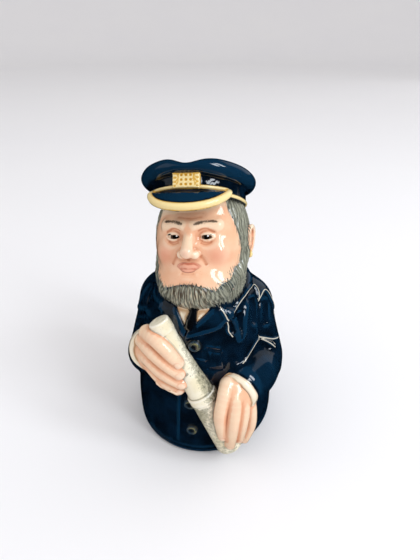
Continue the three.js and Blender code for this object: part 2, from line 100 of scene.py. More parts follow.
def seated(position, pitch=0.0, roll=0.0, yaw=0.0):
    turn = Matrix.Rotation(roll, 4, "Y") @ Matrix.Rotation(yaw, 4, "Z") @ Matrix.Rotation(pitch, 4, "X")
    return Matrix.Translation(position) @ turn


BODY = Matrix.Identity(4)
HEAD = seated((1.0, -8.5, 59), pitch=-20 * DEGREE, roll=-6 * DEGREE, yaw=-5 * DEGREE)
CAP = HEAD @ seated((-1.4, 0.3, 27.0), pitch=-11 * DEGREE, yaw=5 * DEGREE)


def local(where, points):
    """The points in the frame `where`."""
    seat = np.array(where)
    return (points - seat[:3, 3]) @ seat[:3, :3]


def placed(where, points):
    """Points of the frame `where`, in the jug's own frame."""
    seat = np.array(where)
    return np.atleast_2d(np.asarray(points, float)) @ seat[:3, :3].T + seat[:3, 3]


def length(vectors):
    return np.sqrt(np.einsum("ij,ij->i", vectors, vectors))


def unit(vectors):
    return vectors / np.maximum(length(vectors), TINY)[:, None]


def eased(share):
    return share * share * (3 - 2 * share)


def oval(across, out, wide, deep):
    """Distance to an ellipse of half sizes wide and deep, from a place given in those half sizes."""
    level = np.maximum(np.hypot(across, out), TINY)
    return level * (level - 1) / np.maximum(np.hypot(across / wide, out / deep), TINY * TINY)


# ---- curves


def hermite(a, b, slope_a, slope_b, share):
    s2, s3 = share**2, share**3
    ends = a * (2 * s3 - 3 * s2 + 1) + b * (3 * s2 - 2 * s3)
    return ends + slope_a * (s3 - 2 * s2 + share) + slope_b * (s3 - s2)


def smooth_curve(knots, per_span):
    """A centripetal curve through the first three columns, with the other columns eased along it."""
    knots = np.asarray(knots, float)
    first = 2 * knots[0, :3] - knots[1, :3]
    last = 2 * knots[-1, :3] - knots[-2, :3]
    held = np.vstack([first, knots[:, :3], last])
    out = []
    for i in range(len(knots) - 1):
        p0, p1, p2, p3 = held[i : i + 4]
        d0, d1, d2 = (max(np.linalg.norm(b - a) ** 0.5, 1e-4) for a, b in ((p0, p1), (p1, p2), (p2, p3)))
        t1 = ((p1 - p0) / d0 - (p2 - p0) / (d0 + d1) + (p2 - p1) / d1) * d1
        t2 = ((p2 - p1) / d1 - (p3 - p1) / (d1 + d2) + (p3 - p2) / d2) * d1
        shares = np.arange(per_span + (i == len(knots) - 2))[:, None] / per_span
        rest = knots[i, 3:] + (knots[i + 1, 3:] - knots[i, 3:]) * shares
        out.append(np.hstack([hermite(p1, p2, t1, t2, shares), rest]))
    return np.vstack(out)


def table_column(table, heights, column):
    """A smooth curve through one column of a table."""
    heights = np.clip(heights, table[0, 0], table[-1, 0])
    spot = np.clip(np.searchsorted(table[:, 0], heights, side="left") - 1, 0, len(table) - 2)
    before, after = np.maximum(spot - 1, 0), np.minimum(spot + 2, len(table) - 1)
    z, value = table[:, 0], table[:, column]
    span = z[spot + 1] - z[spot]

    def slope(a, b):
        return (value[b] - value[a]) / np.where(z[b] == z[a], 1, z[b] - z[a]) * span

    ends = value[spot], value[spot + 1], slope(before, spot + 1), slope(spot, after)
    return hermite(*ends, (heights - z[spot]) / span)


TRUNK_Z = np.arange(0, TRUNK_TOP + 0.01, 0.25)
TRUNK_FINE = [table_column(TRUNK, TRUNK_Z, column) for column in (1, 2, 3)]


def trunk_at(heights):
    return [np.interp(heights, TRUNK_Z, column) for column in TRUNK_FINE]


# ---- solids


class Solid:
    """A distance function, negative inside, with the box it lies in and the paint group it belongs to."""

    def __init__(self, distance, low, high, group="coat", blend=0.4, cuts=False):
        self.distance = distance
        self.low, self.high = np.array(low, float), np.array(high, float)
        self.group, self.blend, self.cuts = group, blend, cuts

    def near(self, points, margin):
        reach = margin + self.blend
        inside = np.all((points > self.low - reach) & (points < self.high + reach), axis=1)
        return np.flatnonzero(inside)


def ellipsoid(where, centre, radii, turn=(0, 0, 0), **rest):
    seat = where @ Matrix.Translation(centre)
    for angle, axis in zip(turn, "XYZ"):
        seat = seat @ Matrix.Rotation(angle, 4, axis)
    size = np.array(radii, float)

    def distance(points):
        scaled = local(seat, points) / size
        level = length(scaled)
        slope = np.maximum(length(scaled / size), 1e-6)
        return level * (level - 1) / slope

    half = np.sqrt(((np.array(seat)[:3, :3] * size) ** 2).sum(axis=1))
    middle = np.array(seat)[:3, 3]
    return Solid(distance, middle - half, middle + half, **rest)


def distance_to_line(points, line):
    """Distance to the skin of a bar with radius in the fourth column, and the nearest place along it."""
    best = np.full(len(points), 1e3)
    where = np.zeros(len(points))
    for i, (start, stop) in enumerate(zip(line[:-1], line[1:])):
        along = stop[:3] - start[:3]
        gap = points - start[:3]
        share = np.clip(gap @ along / max(along @ along, 1e-9), 0, 1)
        reach = length(gap - share[:, None] * along) - (start[3] + (stop[3] - start[3]) * share)
        closer = reach < best
        best = np.where(closer, reach, best)
        where = np.where(closer, i + share, where)
    return best, where / max(len(line) - 1, 1)


def rod(knots, where=BODY, per_span=5, **rest):
    line = smooth_curve(knots, per_span) if per_span > 1 else np.array(knots, float)
    line[:, :3] = placed(where, line[:, :3])
    widest = line[:, 3].max()
    return Solid(
        lambda points: distance_to_line(points, line)[0],
        line[:, :3].min(axis=0) - widest, line[:, :3].max(axis=0) + widest, **rest)


def barrel(start, stop, radius_start, radius_stop, rounding=0.35, **rest):
    """A round bar with square ends and softened edges."""
    start, stop = np.array(start, float), np.array(stop, float)
    tall = np.linalg.norm(stop - start)
    axis = (stop - start) / tall

    def distance(points):
        gap = points - start
        along = gap @ axis
        across = length(gap - along[:, None] * axis)
        radius = radius_start + (radius_stop - radius_start) * np.clip(along / tall, 0, 1)
        u = across - radius + rounding
        v = np.abs(along - tall / 2) - tall / 2 + rounding
        return np.minimum(np.maximum(u, v), 0) + np.hypot(np.maximum(u, 0), np.maximum(v, 0)) - rounding

    widest = max(radius_start, radius_stop)
    return Solid(distance, np.minimum(start, stop) - widest, np.maximum(start, stop) + widest, **rest)


def smooth_min(a, b, blend):
    mix = np.maximum(blend - np.abs(a - b), 0) / blend
    return np.minimum(a, b) - mix * mix * blend / 4


def smooth_max(a, b, blend):
    return -smooth_min(-a, -b, blend)


def mirrored(make):
    return [solid for side in (-1, 1) for solid in make(side)]


# ---- coat


def trunk_distance(points):
    wide, deep, back = trunk_at(points[:, 2])
    level = np.hypot(points[:, 0] / wide, (points[:, 1] - back) / deep)
    return np.maximum((level - 1) * np.minimum(wide, deep) * 0.8, points[:, 2] - TRUNK_TOP)


def coat_depth(points):
    """How far the points stand out of the bare trunk."""
    wide, deep, back = trunk_at(points[:, 2])
    return oval(points[:, 0] / wide, (points[:, 1] - back) / deep, wide, deep)


def on_coat(x, height, proud):
    wide, deep, back = (float(v) for v in trunk_at(height))
    y = back - deep * math.sqrt(max(0, 1 - (x / wide) ** 2))
    out = Vector((x / wide**2, (y - back) / deep**2, 0)).normalized()
    return np.array([x, y, height]) + proud * np.array(out)


def polygon_distance(corners, flat):
    """Signed distance to an outline, negative inside."""
    best = np.full(len(flat), 1e6)
    sign = np.ones(len(flat))
    for a, b in zip(np.roll(corners, 1, axis=0), corners):
        edge, gap = b - a, flat - a
        share = np.clip(gap @ edge / (edge @ edge), 0, 1)
        best = np.minimum(best, ((gap - share[:, None] * edge) ** 2).sum(axis=1))
        rises = (a[1] > flat[:, 1]) != (b[1] > flat[:, 1])
        with np.errstate(divide="ignore", invalid="ignore"):
            crossing = (b[0] - a[0]) * (flat[:, 1] - a[1]) / (b[1] - a[1]) + a[0]
        sign = np.where(rises & (flat[:, 0] < crossing), -sign, sign)
    return np.sqrt(best) * sign


def plate(outline, proud, sunk=1.6, **rest):
    corners = np.array(outline, float)

    def distance(points):
        edge = polygon_distance(corners, points[:, [0, 2]])
        depth = coat_depth(points)
        return smooth_max(smooth_max(edge, depth - proud, 0.5), -sunk - depth, 0.2)

    low, high = corners.min(axis=0), corners.max(axis=0)
    return Solid(distance, [low[0], -27, low[1]], [high[0], -12, high[1]], **rest)


def coat():
    solids = [Solid(trunk_distance, [-26, -28.5, 0], [26, 27.5, 61], blend=0.1)]
    solids += mirrored(lambda side: [
        rod([[side * 6, 0, 51.6, 8], [side * 14.8, 0, 49, 8]], per_span=1, blend=5)])
    solids += [
        rod([[-15, 0, 48.6, 8], [-18.8, -5, 28, 9.4]], per_span=1, blend=2.5),
        rod([[15.4, 0, 48.6, 8], [19.6, -4.5, 28, 9.9]], per_span=1, blend=2.5),
    ]
    return solids


# ---- head

SKULL = [([0, 0.4, 15], [15.2, 15, 21]), ([0, -3, 3], [13.6, 14.4, 10])]


def head():
    def mass(centre, radii, blend, **rest):
        return ellipsoid(HEAD, centre, radii, group="face", blend=blend, **rest)

    def ridge(knots, blend):
        return rod(knots, HEAD, per_span=1, group="face", blend=blend)

    solids = [ellipsoid(HEAD, *part, group="skull", blend=3) for part in SKULL]
    solids += [mass([0, -4.2, 13.5], [12.8, 11.2, 14], 2), mass([0, -7.6, 6], [9.4, 8.2, 6.6], 2)]
    solids += mirrored(lambda side: [mass([side * 6.4, -10.4, 12.2], [4.6, 4, 4.4], 2)])  # cheeks
    solids += mirrored(lambda side: [
        ridge([[side * 1.6, -13.9, 19.8, 1.7], [side * 7.8, -11.6, 20.2, 1.5]], 1.8)])  # brows
    solids += mirrored(lambda side: [
        mass([side * 5.1, -15.8, 17], [3.1, 2.9, 2.1], 1.8, cuts=True)])  # eye sockets
    solids += [ridge([[0, -14, 18.6, 1.2], [0, -17.4, 12.7, 1.9]], 1.2)]  # nose
    solids += mirrored(lambda side: [mass([side * 2, -15.8, 11.9], [1.4, 1.7, 1.3], 0.9)])
    return [*solids, mass([0, -13.6, 4.2], [3.4, 3, 2.1], 1.2)]  # chin


def beard():
    solids = mirrored(lambda side: [
        rod([[side * 13.6, -1, 11, 1.8], [side * 12.0, -5.8, 5.6, 2.3], [side * 8.0, -11.2, 1.6, 3.1],
             [0, -13.8, 0.2, 3.6]], HEAD, per_span=1, group="hair", blend=1.6)])
    return solids + [ellipsoid(HEAD, [0, -13, -1.0], [6.6, 4, 3.2], group="hair", blend=1.6)]


# ---- cap


def cap_polar(points):
    at = local(CAP, points)
    return np.arctan2(at[:, 0], -at[:, 1]), np.hypot(at[:, 0], at[:, 1]), at[:, 2]


def bell(angle, spread):
    return np.exp(-((np.arctan2(np.sin(angle), np.cos(angle)) / spread) ** 2))


def band_radius(angle):
    return 1 / np.hypot(np.sin(angle) / BAND_HALF_WIDTH, np.cos(angle) / BAND_HALF_DEPTH)


def band_top(angle):
    return 3.4 + 1.1 * bell(angle, 0.6)


def crest(angle):
    return 8.7 + 0.7 * np.cos(angle) - 1.8 * bell(angle, 0.24)


def band_distance(points):
    angle, radius, height = cap_polar(points)
    middle = (band_top(angle) + crest(angle)) / 2
    return np.maximum(np.maximum(radius - band_radius(angle), -height - 0.8), height - middle)


def crown_distance(points):
    angle, radius, height = cap_polar(points)
    low, high = band_top(angle), crest(angle)
    tall = (high - low) / 2
    across = (radius - band_radius(angle) + ROLL_INSET) / ROLL_HALF
    return oval(across, (height - (low + high) / 2) / tall, ROLL_HALF, tall)


def peak_distance(points):
    angle, radius, height = cap_polar(points)
    out = radius - band_radius(angle)
    width = np.clip(1 - (angle / PEAK_HALF_ANGLE) ** 2, 0, 1)
    reach = 0.5 + PEAK_REACH * np.sqrt(width)
    drop = PEAK_DROP * width
    bend, start = 0.6 * reach, -2.0
    inner = 0.15 + (out - start) / (bend - start) * (-0.42 * drop - 0.15)
    outer = -drop * (0.42 + 0.58 * (out - bend) / (reach - bend))
    middle = smooth_min(inner, outer, 0.6)
    slope = np.where(out < bend, (0.42 * drop + 0.15) / (bend - start), 0.58 * drop / (reach - bend))
    sheet = np.abs(height - middle) / np.hypot(1, slope) - PEAK_THICK / 2
    ends = np.maximum(out - reach, start - out)
    return np.maximum(np.maximum(sheet, ends), (np.abs(angle) - PEAK_HALF_ANGLE) * radius)


def on_band(angle, out, height):
    radius = band_radius(angle) + out
    return placed(CAP, np.stack([np.sin(angle) * radius, -np.cos(angle) * radius, height], axis=-1))


def peak_edge():
    angle = PEAK_HALF_ANGLE * 0.995 * np.linspace(-1, 1, 33)
    width = 1 - (angle / PEAK_HALF_ANGLE) ** 2
    points = on_band(angle, 0.5 + PEAK_REACH * np.sqrt(width), -PEAK_DROP * width)
    return np.hstack([points, np.full((33, 1), PIPING)])


def band_cord(start, stop, out, height, radius):
    angle = np.linspace(start * DEGREE, stop * DEGREE, 64)
    heights = height(angle) if callable(height) else np.full(64, float(height))
    return np.hstack([on_band(angle, out, heights), np.full((64, 1), radius)])


def badge_distance(points):
    at = local(CAP, points)
    front = -BAND_HALF_DEPTH - 0.9
    gap = np.abs(at - np.array([0, front + BADGE_HALF[1], BADGE_HEIGHT])) - BADGE_HALF + BADGE_CORNER
    return length(np.maximum(gap, 0)) + np.minimum(gap.max(axis=1), 0) - BADGE_CORNER


def cap():
    middle = placed(CAP, [0, 0, 4])[0]
    low, high = middle - 23, middle + 23
    solids = [
        Solid(band_distance, low, high, group="cap", blend=0.3),
        Solid(crown_distance, low, high, group="cap", blend=0.7),
        Solid(peak_distance, *box_round(peak_edge(), 4), group="cap", blend=0.5),
        rod(peak_edge(), per_span=1, group="gold", blend=0.35),
        rod(band_cord(-43, 43, 0.15, 0.95, 0.45), per_span=1, group="gold", blend=0.3),
        rod(band_cord(43, 317, 0.05, -0.45, 0.42), per_span=1, group="gold", blend=0.3),
    ]
    centre = placed(CAP, [0, -17, BADGE_HEIGHT])[0]
    solids.append(Solid(badge_distance, centre - 5.5, centre + 5.5, group="gold", blend=0.3))
    return solids


def box_round(line, margin):
    return line[:, :3].min(axis=0) - margin, line[:, :3].max(axis=0) + margin


# ---- crisp parts

SCOPE_EYE, SCOPE_JOINT, SCOPE_END = (np.array(p) for p in (
    [-10.2, -25.6, 55.6], [4.3, -28.2, 28.2], [12.8, -26.2, 6.0]))


def telescope():
    narrow, wide = SCOPE_JOINT - SCOPE_EYE, SCOPE_END - SCOPE_JOINT
    style = {"group": "scope", "blend": 0.35}
    return [
        barrel(SCOPE_EYE, SCOPE_EYE + narrow * 0.135, 3.3, 3.3, 0.4, **style),
        barrel(SCOPE_EYE + narrow * 0.1, SCOPE_JOINT - narrow * 0.05, 3.1, 4.3, 0.3, **style),
        barrel(SCOPE_JOINT - narrow * 0.09, SCOPE_JOINT, 4.9, 4.9, 0.45, **style),
        barrel(SCOPE_JOINT - wide * 0.08, SCOPE_END, 4.6, 4.9, 0.6, **style),
    ]


def arms():
    return [
        rod(knots, per_span=16, blend=1.2) for knots in (
            [[-18.4, -7, 28.4, 9.2], [-16.4, -14.5, 34.6, 8.6], [-13.8, -21, 41, 7.2]],
            [[19.4, -6.5, 28, 9.6], [18.4, -14.5, 29.4, 8.9], [16, -21.5, 30.6, 7.6]])
    ]


def cuffs():
    style = {"group": "white", "blend": 0.3}
    return [
        barrel([-15.6, -20, 40.8], [-13.5, -24.4, 43.2], 6.9, 6.9, 1.2, **style),
        barrel([16.2, -20.8, 30.6], [14.1, -26.3, 29.8], 7.0, 7.0, 1.2, **style),
    ]


RIGHT_HAND = [
    ([-14.2, -25, 50], [-10.4, -29, 51], [-6.4, -30.6, 48], [-3.4, -30.8, 44.2], 2.2),
    ([-15.6, -25, 47], [-12.2, -29, 46.8], [-7.4, -31, 43.8], [-3, -31.2, 40.2], 2.2),
    ([-15.8, -25, 43], [-12.8, -28.6, 42.6], [-7.8, -30.8, 39.4], [-2.6, -30.8, 36], 2.3),
    ([-15, -24.4, 39.6], [-12.4, -27.8, 38.4], [-8, -29.8, 35], [-3.6, -29.6, 32.2], 2.1),
]
LEFT_HAND = [
    ([11.6, -27.2, 34.2], [10.9, -30.6, 31.6], [10.1, -32.6, 24.6], [11, -32, 16], 2.1),
    ([13.8, -27, 33.4], [14.5, -30.8, 29.4], [14.2, -32.4, 21], [13.5, -31, 11], 2.1),
    ([16, -25.8, 31.6], [17.3, -29.2, 27.4], [17.1, -30.4, 20.6], [16.4, -29.4, 12.6], 1.9),
    ([17.6, -24, 29.2], [19.4, -26.2, 24.6], [19.8, -26.6, 16.6], [18, -26.4, 9], 1.8),
]


def finger(wrist, knuckle, joint, tip, radius):
    knots = [[*wrist, radius * 1.25], [*knuckle, radius * 1.08], [*joint, radius], [*tip, radius * 0.86]]
    return rod(knots, per_span=4, group="hand", blend=0.7)


def hands():
    style = {"group": "hand", "blend": 1.2}
    return [
        ellipsoid(BODY, [-11.4, -25.8, 42.8], [5.6, 4.4, 7.4], [0, 0.45, 0], **style),
        ellipsoid(BODY, [14.3, -26.8, 28.8], [5.0, 4, 6.2], [0.1, 0.35, 0], **style),
        *(finger(*bones) for bones in RIGHT_HAND + LEFT_HAND),
    ]


LAPELS = [
    [[-2, 50.2], [8.8, 52.9], [12.4, 57], [9.8, 58.3], [9.4, 60.8], [7.4, 60.8], [-1, 52.9]],
    [[-2.4, 50.4], [-1.6, 52.6], [-6.4, 60.8], [-8.6, 60.8], [-10.4, 59.2], [-11.8, 56.5], [-9, 53.6]],
]


def dress():
    solids = mirrored(lambda side: [
        rod([[0, 9.6, 59, 2.8], [side * 9.5, 6, 59.4, 2.8], [side * 13.8, -3, 59.2, 2.7],
             [side * 11.6, -12, 59, 2.4], [side * 6.6, -19.4, 59.6, 1.8]], blend=0.5)])
    solids += [plate(outline, 1.1, blend=0.4) for outline in LAPELS]
    solids += [
        plate([[-6.8, 60.8], [-1.2, 52.8], [7.8, 60.8]], 0.4, group="white", blend=0.2),
        rod([[0.4, -21.6, 61.2, 1.3], [0.3, -23.1, 58.6, 1.1], [-0.2, -24.2, 56, 1.6],
             [-0.8, -24.7, 53.8, 1.4]], group="tie", blend=0.3),
    ]
    for x, height in BUTTON_PLACES:
        face = on_coat(x, height, BUTTON_PROUD)
        solids.append(barrel([x, face[1] + 3, height], face, BUTTON_RADIUS, BUTTON_RADIUS, 0.35, blend=0.3))
    return solids


def lidded_eye(side):
    """The eyeball and the two lids that open over it."""
    centre = [side * EYE_CENTRE[0], *EYE_CENTRE[1:]]
    ball = ellipsoid(HEAD, centre, EYEBALL, group="eye", blend=0.15)
    cover = ellipsoid(HEAD, centre, LID)

    def lid_distance(points, upper):
        at = local(HEAD, points)
        across = np.clip((at[:, 0] - centre[0]) / LID_HALF_WIDTH, -1, 1)
        edge = centre[2] + (LID_RISE if upper else LID_FALL) * (1 - across**2)
        beyond = edge - at[:, 2] if upper else at[:, 2] - edge
        return smooth_max(cover.distance(points), beyond, 0.25)

    lids = [
        Solid(lambda points, upper=upper: lid_distance(points, upper), cover.low, cover.high,
              group="skin", blend=0.35)
        for upper in (True, False)]
    return [ball, *lids]


def features():
    solids = mirrored(lidded_eye)
    solids += [
        rod([[-2.9, -15.0, 8.0, 0.3], [-1.4, -15.8, 8.35, 0.58], [0, -16.0, 8.25, 0.6],
             [1.4, -15.8, 8.35, 0.58], [2.9, -15.0, 8.0, 0.3]], HEAD, group="lips", blend=0.45),
        rod([[-2.6, -15.0, 7.7, 0.3], [-1.3, -15.65, 7.3, 0.68], [0, -15.85, 7.2, 0.78],
             [1.3, -15.65, 7.3, 0.68], [2.6, -15.0, 7.7, 0.3]], HEAD, group="lips", blend=0.3),
    ]
    solids += mirrored(lambda side: [
        ellipsoid(HEAD, [side * 14.6, 0.6, 15.4], [1.5, 2.7, 4.2], [0.15, 0, 0], group="skin", blend=0.6),
        rod([[side * 14.9, -1.3, 17.2, 0.6], [side * 15.7, 0.6, 19.3, 0.7], [side * 15.9, 2.9, 18, 0.7],
             [side * 15.7, 3.0, 14.6, 0.65], [side * 15.3, 0.9, 11.8, 0.8]], HEAD, group="skin", blend=0.5),
        ellipsoid(HEAD, [side * 15.4, -0.1, 10.6], [0.8, 0.9, 1.1], group="gold", blend=0.2),
    ])
    return solids


HANDLE = smooth_curve([[0, 6, 75, 0], [0, 16, 76, 0], [0, 27, 73.5, 0], [0, 34, 64.5, 0], [0, 36, 53, 0],
                       [0, 34, 41, 0], [0, 28.5, 30, 0], [0, 21, 23.5, 0]], 5)


def handle_distance(points):
    flat = points.copy()
    flat[:, 0] = 0
    gap, _ = distance_to_line(flat, HANDLE)
    return oval(points[:, 0] / HANDLE_WIDE, gap / HANDLE_DEEP, HANDLE_WIDE, HANDLE_DEEP)


def handle():
    low, high = box_round(HANDLE, 3.7)
    return [Solid(handle_distance, low, high, group="handle", blend=1.6)]


# ---- hollow

SPINE = [(0, BODY), (46, seated((0, -1.2, 46))), (70, HEAD @ seated((0, 0, 10))), (88, CAP),
         (93, CAP @ seated((0, 0, 5))), (110, CAP @ seated((0, 0, 22)))]


def spine_table():
    stations, rows = np.arange(0, 106, 0.5), []
    for station in stations:
        i = max(k for k in range(len(SPINE) - 1) if SPINE[k][0] <= station or k == 0)
        (low, start), (high, stop) = SPINE[i], SPINE[i + 1]
        share = (station - low) / (high - low)
        turn = start.to_quaternion().slerp(stop.to_quaternion(), share).to_matrix()
        place = start.translation.lerp(stop.translation, share)
        rows.append([*place, *turn.col[0], *turn.col[1], *turn.col[2]])
    return stations, np.array(rows)


STATIONS, SPINE_ROWS = spine_table()


def spine_at(station, column):
    """Three columns of the spine's table: its place from 0, then its axes from 3, 6 and 9."""
    return np.stack([np.interp(station, STATIONS, SPINE_ROWS[:, column + k]) for k in range(3)], axis=1)


def hollow_distance(points):
    """Negative in the room inside the jug."""
    station = points[:, 2].astype(float)
    for _ in range(4):
        origin, up = spine_at(station, 0), spine_at(station, 9)
        station = station + ((points - origin) * up).sum(axis=1)
    side = spine_at(station, 3)
    front = np.cross(up, side)
    gap = points - origin
    wide, deep, back = (table_column(HOLLOW, station, column) for column in (1, 2, 3))
    wall = oval((gap * side).sum(axis=1) / wide, ((gap * front).sum(axis=1) - back) / deep, wide, deep)
    return smooth_max(wall, FLOOR - station, FLOOR_BLEND)


# ---- the whole field

SOLIDS = [*coat(), *head(), *beard(), *cap(), *telescope(), *arms(), *cuffs(), *hands(), *dress(),
          *features(), *handle()]


def joined(value, gap, solid):
    if solid.cuts:
        return smooth_max(value, -gap, solid.blend)
    return smooth_min(value, gap, solid.blend)


def grid_field(low, high):
    """The figure's distance on a grid of CELL spacing."""
    axes = [np.arange(low[k], high[k] + CELL, CELL) for k in range(3)]
    value = np.full([len(axis) for axis in axes], FAR, dtype=np.float32)

    def block(from_low, from_high):
        spans = []
        for k in range(3):
            ends = [int((from_low[k] - low[k]) / CELL), int((from_high[k] - low[k]) / CELL) + 2]
            spans.append(slice(*np.clip(ends, 0, len(axes[k]))))
        points = np.stack(np.meshgrid(*[axes[k][spans[k]] for k in range(3)], indexing="ij"), axis=-1)
        return tuple(spans), points.reshape(-1, 3)

    for solid in SOLIDS:
        reach = solid.blend + 2 * CELL + 0.3
        spans, points = block(solid.low - reach, solid.high + reach)
        gap = solid.distance(points).reshape(value[spans].shape)
        value[spans] = joined(value[spans], gap, solid)
    spans, points = block(ROOM_LOW, ROOM_HIGH)
    room = hollow_distance(points).reshape(value[spans].shape)
    value[spans] = smooth_max(value[spans], -room, LIP_BLEND)
    value[:] = smooth_max(value, -axes[2][None, None, :].astype(np.float32), FOOT_BLEND)
    return axes, value


class Field:
    """The same distance at loose points, which only move a little between calls."""

    def __init__(self, points, margin=1.5):
        self.near = [(solid, solid.near(points, margin)) for solid in SOLIDS]
        self.count = len(points)

    def __call__(self, points):
        value = np.full(self.count, FAR)
        for solid, index in self.near:
            if len(index):
                value[index] = joined(value[index], solid.distance(points[index]), solid)
        value = smooth_max(value, -hollow_distance(points), LIP_BLEND)
        return smooth_max(value, -points[:, 2], FOOT_BLEND)


def gradient(field, points, step):
    value = field(points)
    slope = np.stack([(field(points + step * way) - value) / step for way in np.eye(3)], axis=1)
    return value, slope


# ---- skin of the field


def surface_net(axes, value):
    """One vertex in each cell that the skin passes through, joined by quads."""
    inside = value < 0
    shape = [n - 1 for n in value.shape]
    some, every = np.zeros(shape, bool), np.ones(shape, bool)
    corners = [(i, j, k) for i in (0, 1) for j in (0, 1) for k in (0, 1)]
    for i, j, k in corners:
        part = inside[i : i + shape[0], j : j + shape[1], k : k + shape[2]]
        some |= part
        every &= part
    cells = np.argwhere(some & ~every)
    number = np.full(shape, -1, np.int32)
    number[tuple(cells.T)] = np.arange(len(cells))
    total, count = np.zeros((len(cells), 3)), np.zeros(len(cells))
    units = np.eye(3, dtype=int)
    for axis in range(3):
        u, v = units[(axis + 1) % 3], units[(axis + 2) % 3]
        for offset in (0 * u, u, v, u + v):
            start = cells + offset
            a, b = value[tuple(start.T)], value[tuple((start + units[axis]).T)]
            crossed = (a < 0) != (b < 0)
            share = a[crossed] / (a[crossed] - b[crossed])
            total[crossed] += start[crossed] + share[:, None] * units[axis]
            count[crossed] += 1
    low = np.array([axis[0] for axis in axes])
    vertices = low + CELL * total / count[:, None]
    quads = []
    for axis in range(3):
        u, v = units[(axis + 1) % 3], units[(axis + 2) % 3]
        lower = [slice(1, -1)] * 3
        upper = [slice(1, -1)] * 3
        upper[axis] = slice(2, None)
        a, b = inside[tuple(lower)], inside[tuple(upper)]
        at = np.argwhere(a != b) + 1
        outward = inside[tuple(at.T)]
        loop = np.stack([number[tuple((at - u - v).T)], number[tuple((at - v).T)],
                         number[tuple(at.T)], number[tuple((at - u).T)]], axis=1)
        loop[~outward] = loop[~outward][:, ::-1]
        quads.append(loop)
    return vertices, np.vstack(quads)


def settle(field, points, rounds=2):
    """Moves the points onto the skin of the field."""
    for _ in range(rounds):
        value, slope = gradient(field, points, 0.05)
        steep = np.maximum((slope**2).sum(axis=1), 0.05)
        move = np.clip(value / steep, -0.6 * CELL, 0.6 * CELL)
        points = points - move[:, None] * slope
    return points


# ---- modelled detail


class Mark:
    """A ridge, groove or lapped edge ("lap") along a line on the skin, or a ridge where the glaze is thin
    ("pale")."""

    def __init__(self, knots, wide, high, kind=""):
        self.path = smooth_curve([[*knot, 0] for knot in knots], 6)[:, :3]
        self.wide, self.high, self.lap, self.pale = wide, high, kind == "lap", kind == "pale"

    def lay(self, path, out):
        self.side = np.cross(unit(np.gradient(path, axis=0)), out)
        self.line = np.hstack([path, np.zeros((len(path), 1))])
        self.low, self.top = box_round(self.line, 2.6 * self.wide + (4 if self.lap else 0) + 1)

    def near(self, points):
        return np.flatnonzero(np.all((points > self.low) & (points < self.top), axis=1))

    def across(self, points):
        """Distance from the line, how far to one side of it, and how far along it."""
        gap, where = distance_to_line(points, self.line)
        spot = where * (len(self.line) - 1)
        i = np.minimum(spot.astype(int), len(self.line) - 2)
        share = (spot - i)[:, None]
        foot = self.line[i, :3] * (1 - share) + self.line[i + 1, :3] * share
        side = self.side[i] * (1 - share) + self.side[i + 1] * share
        return gap, ((points - foot) * side).sum(axis=1), where

    def raised(self, points):
        gap, signed, where = self.across(points)
        ends = eased(np.clip(np.minimum(where, 1 - where) / 0.14, 0, 1))
        if self.lap:
            step = 0.5 + 0.5 * np.tanh(signed / self.wide)
            return self.high * ends * step * np.exp(-((np.maximum(signed, 0) / 2.6) ** 2))
        return self.high * ends * np.exp(-((gap / self.wide) ** 2))


def laid(marks):
    """The marks with their lines brought onto the skin."""
    paths = np.vstack([mark.path for mark in marks])
    paths = settle(Field(paths, 9), paths, 8)
    _, out = gradient(Field(paths), paths, 0.3)
    ends = np.cumsum([len(mark.path) for mark in marks])[:-1]
    for mark, path, normal in zip(marks, np.split(paths, ends), np.split(unit(out), ends)):
        mark.lay(path, normal)
    return marks


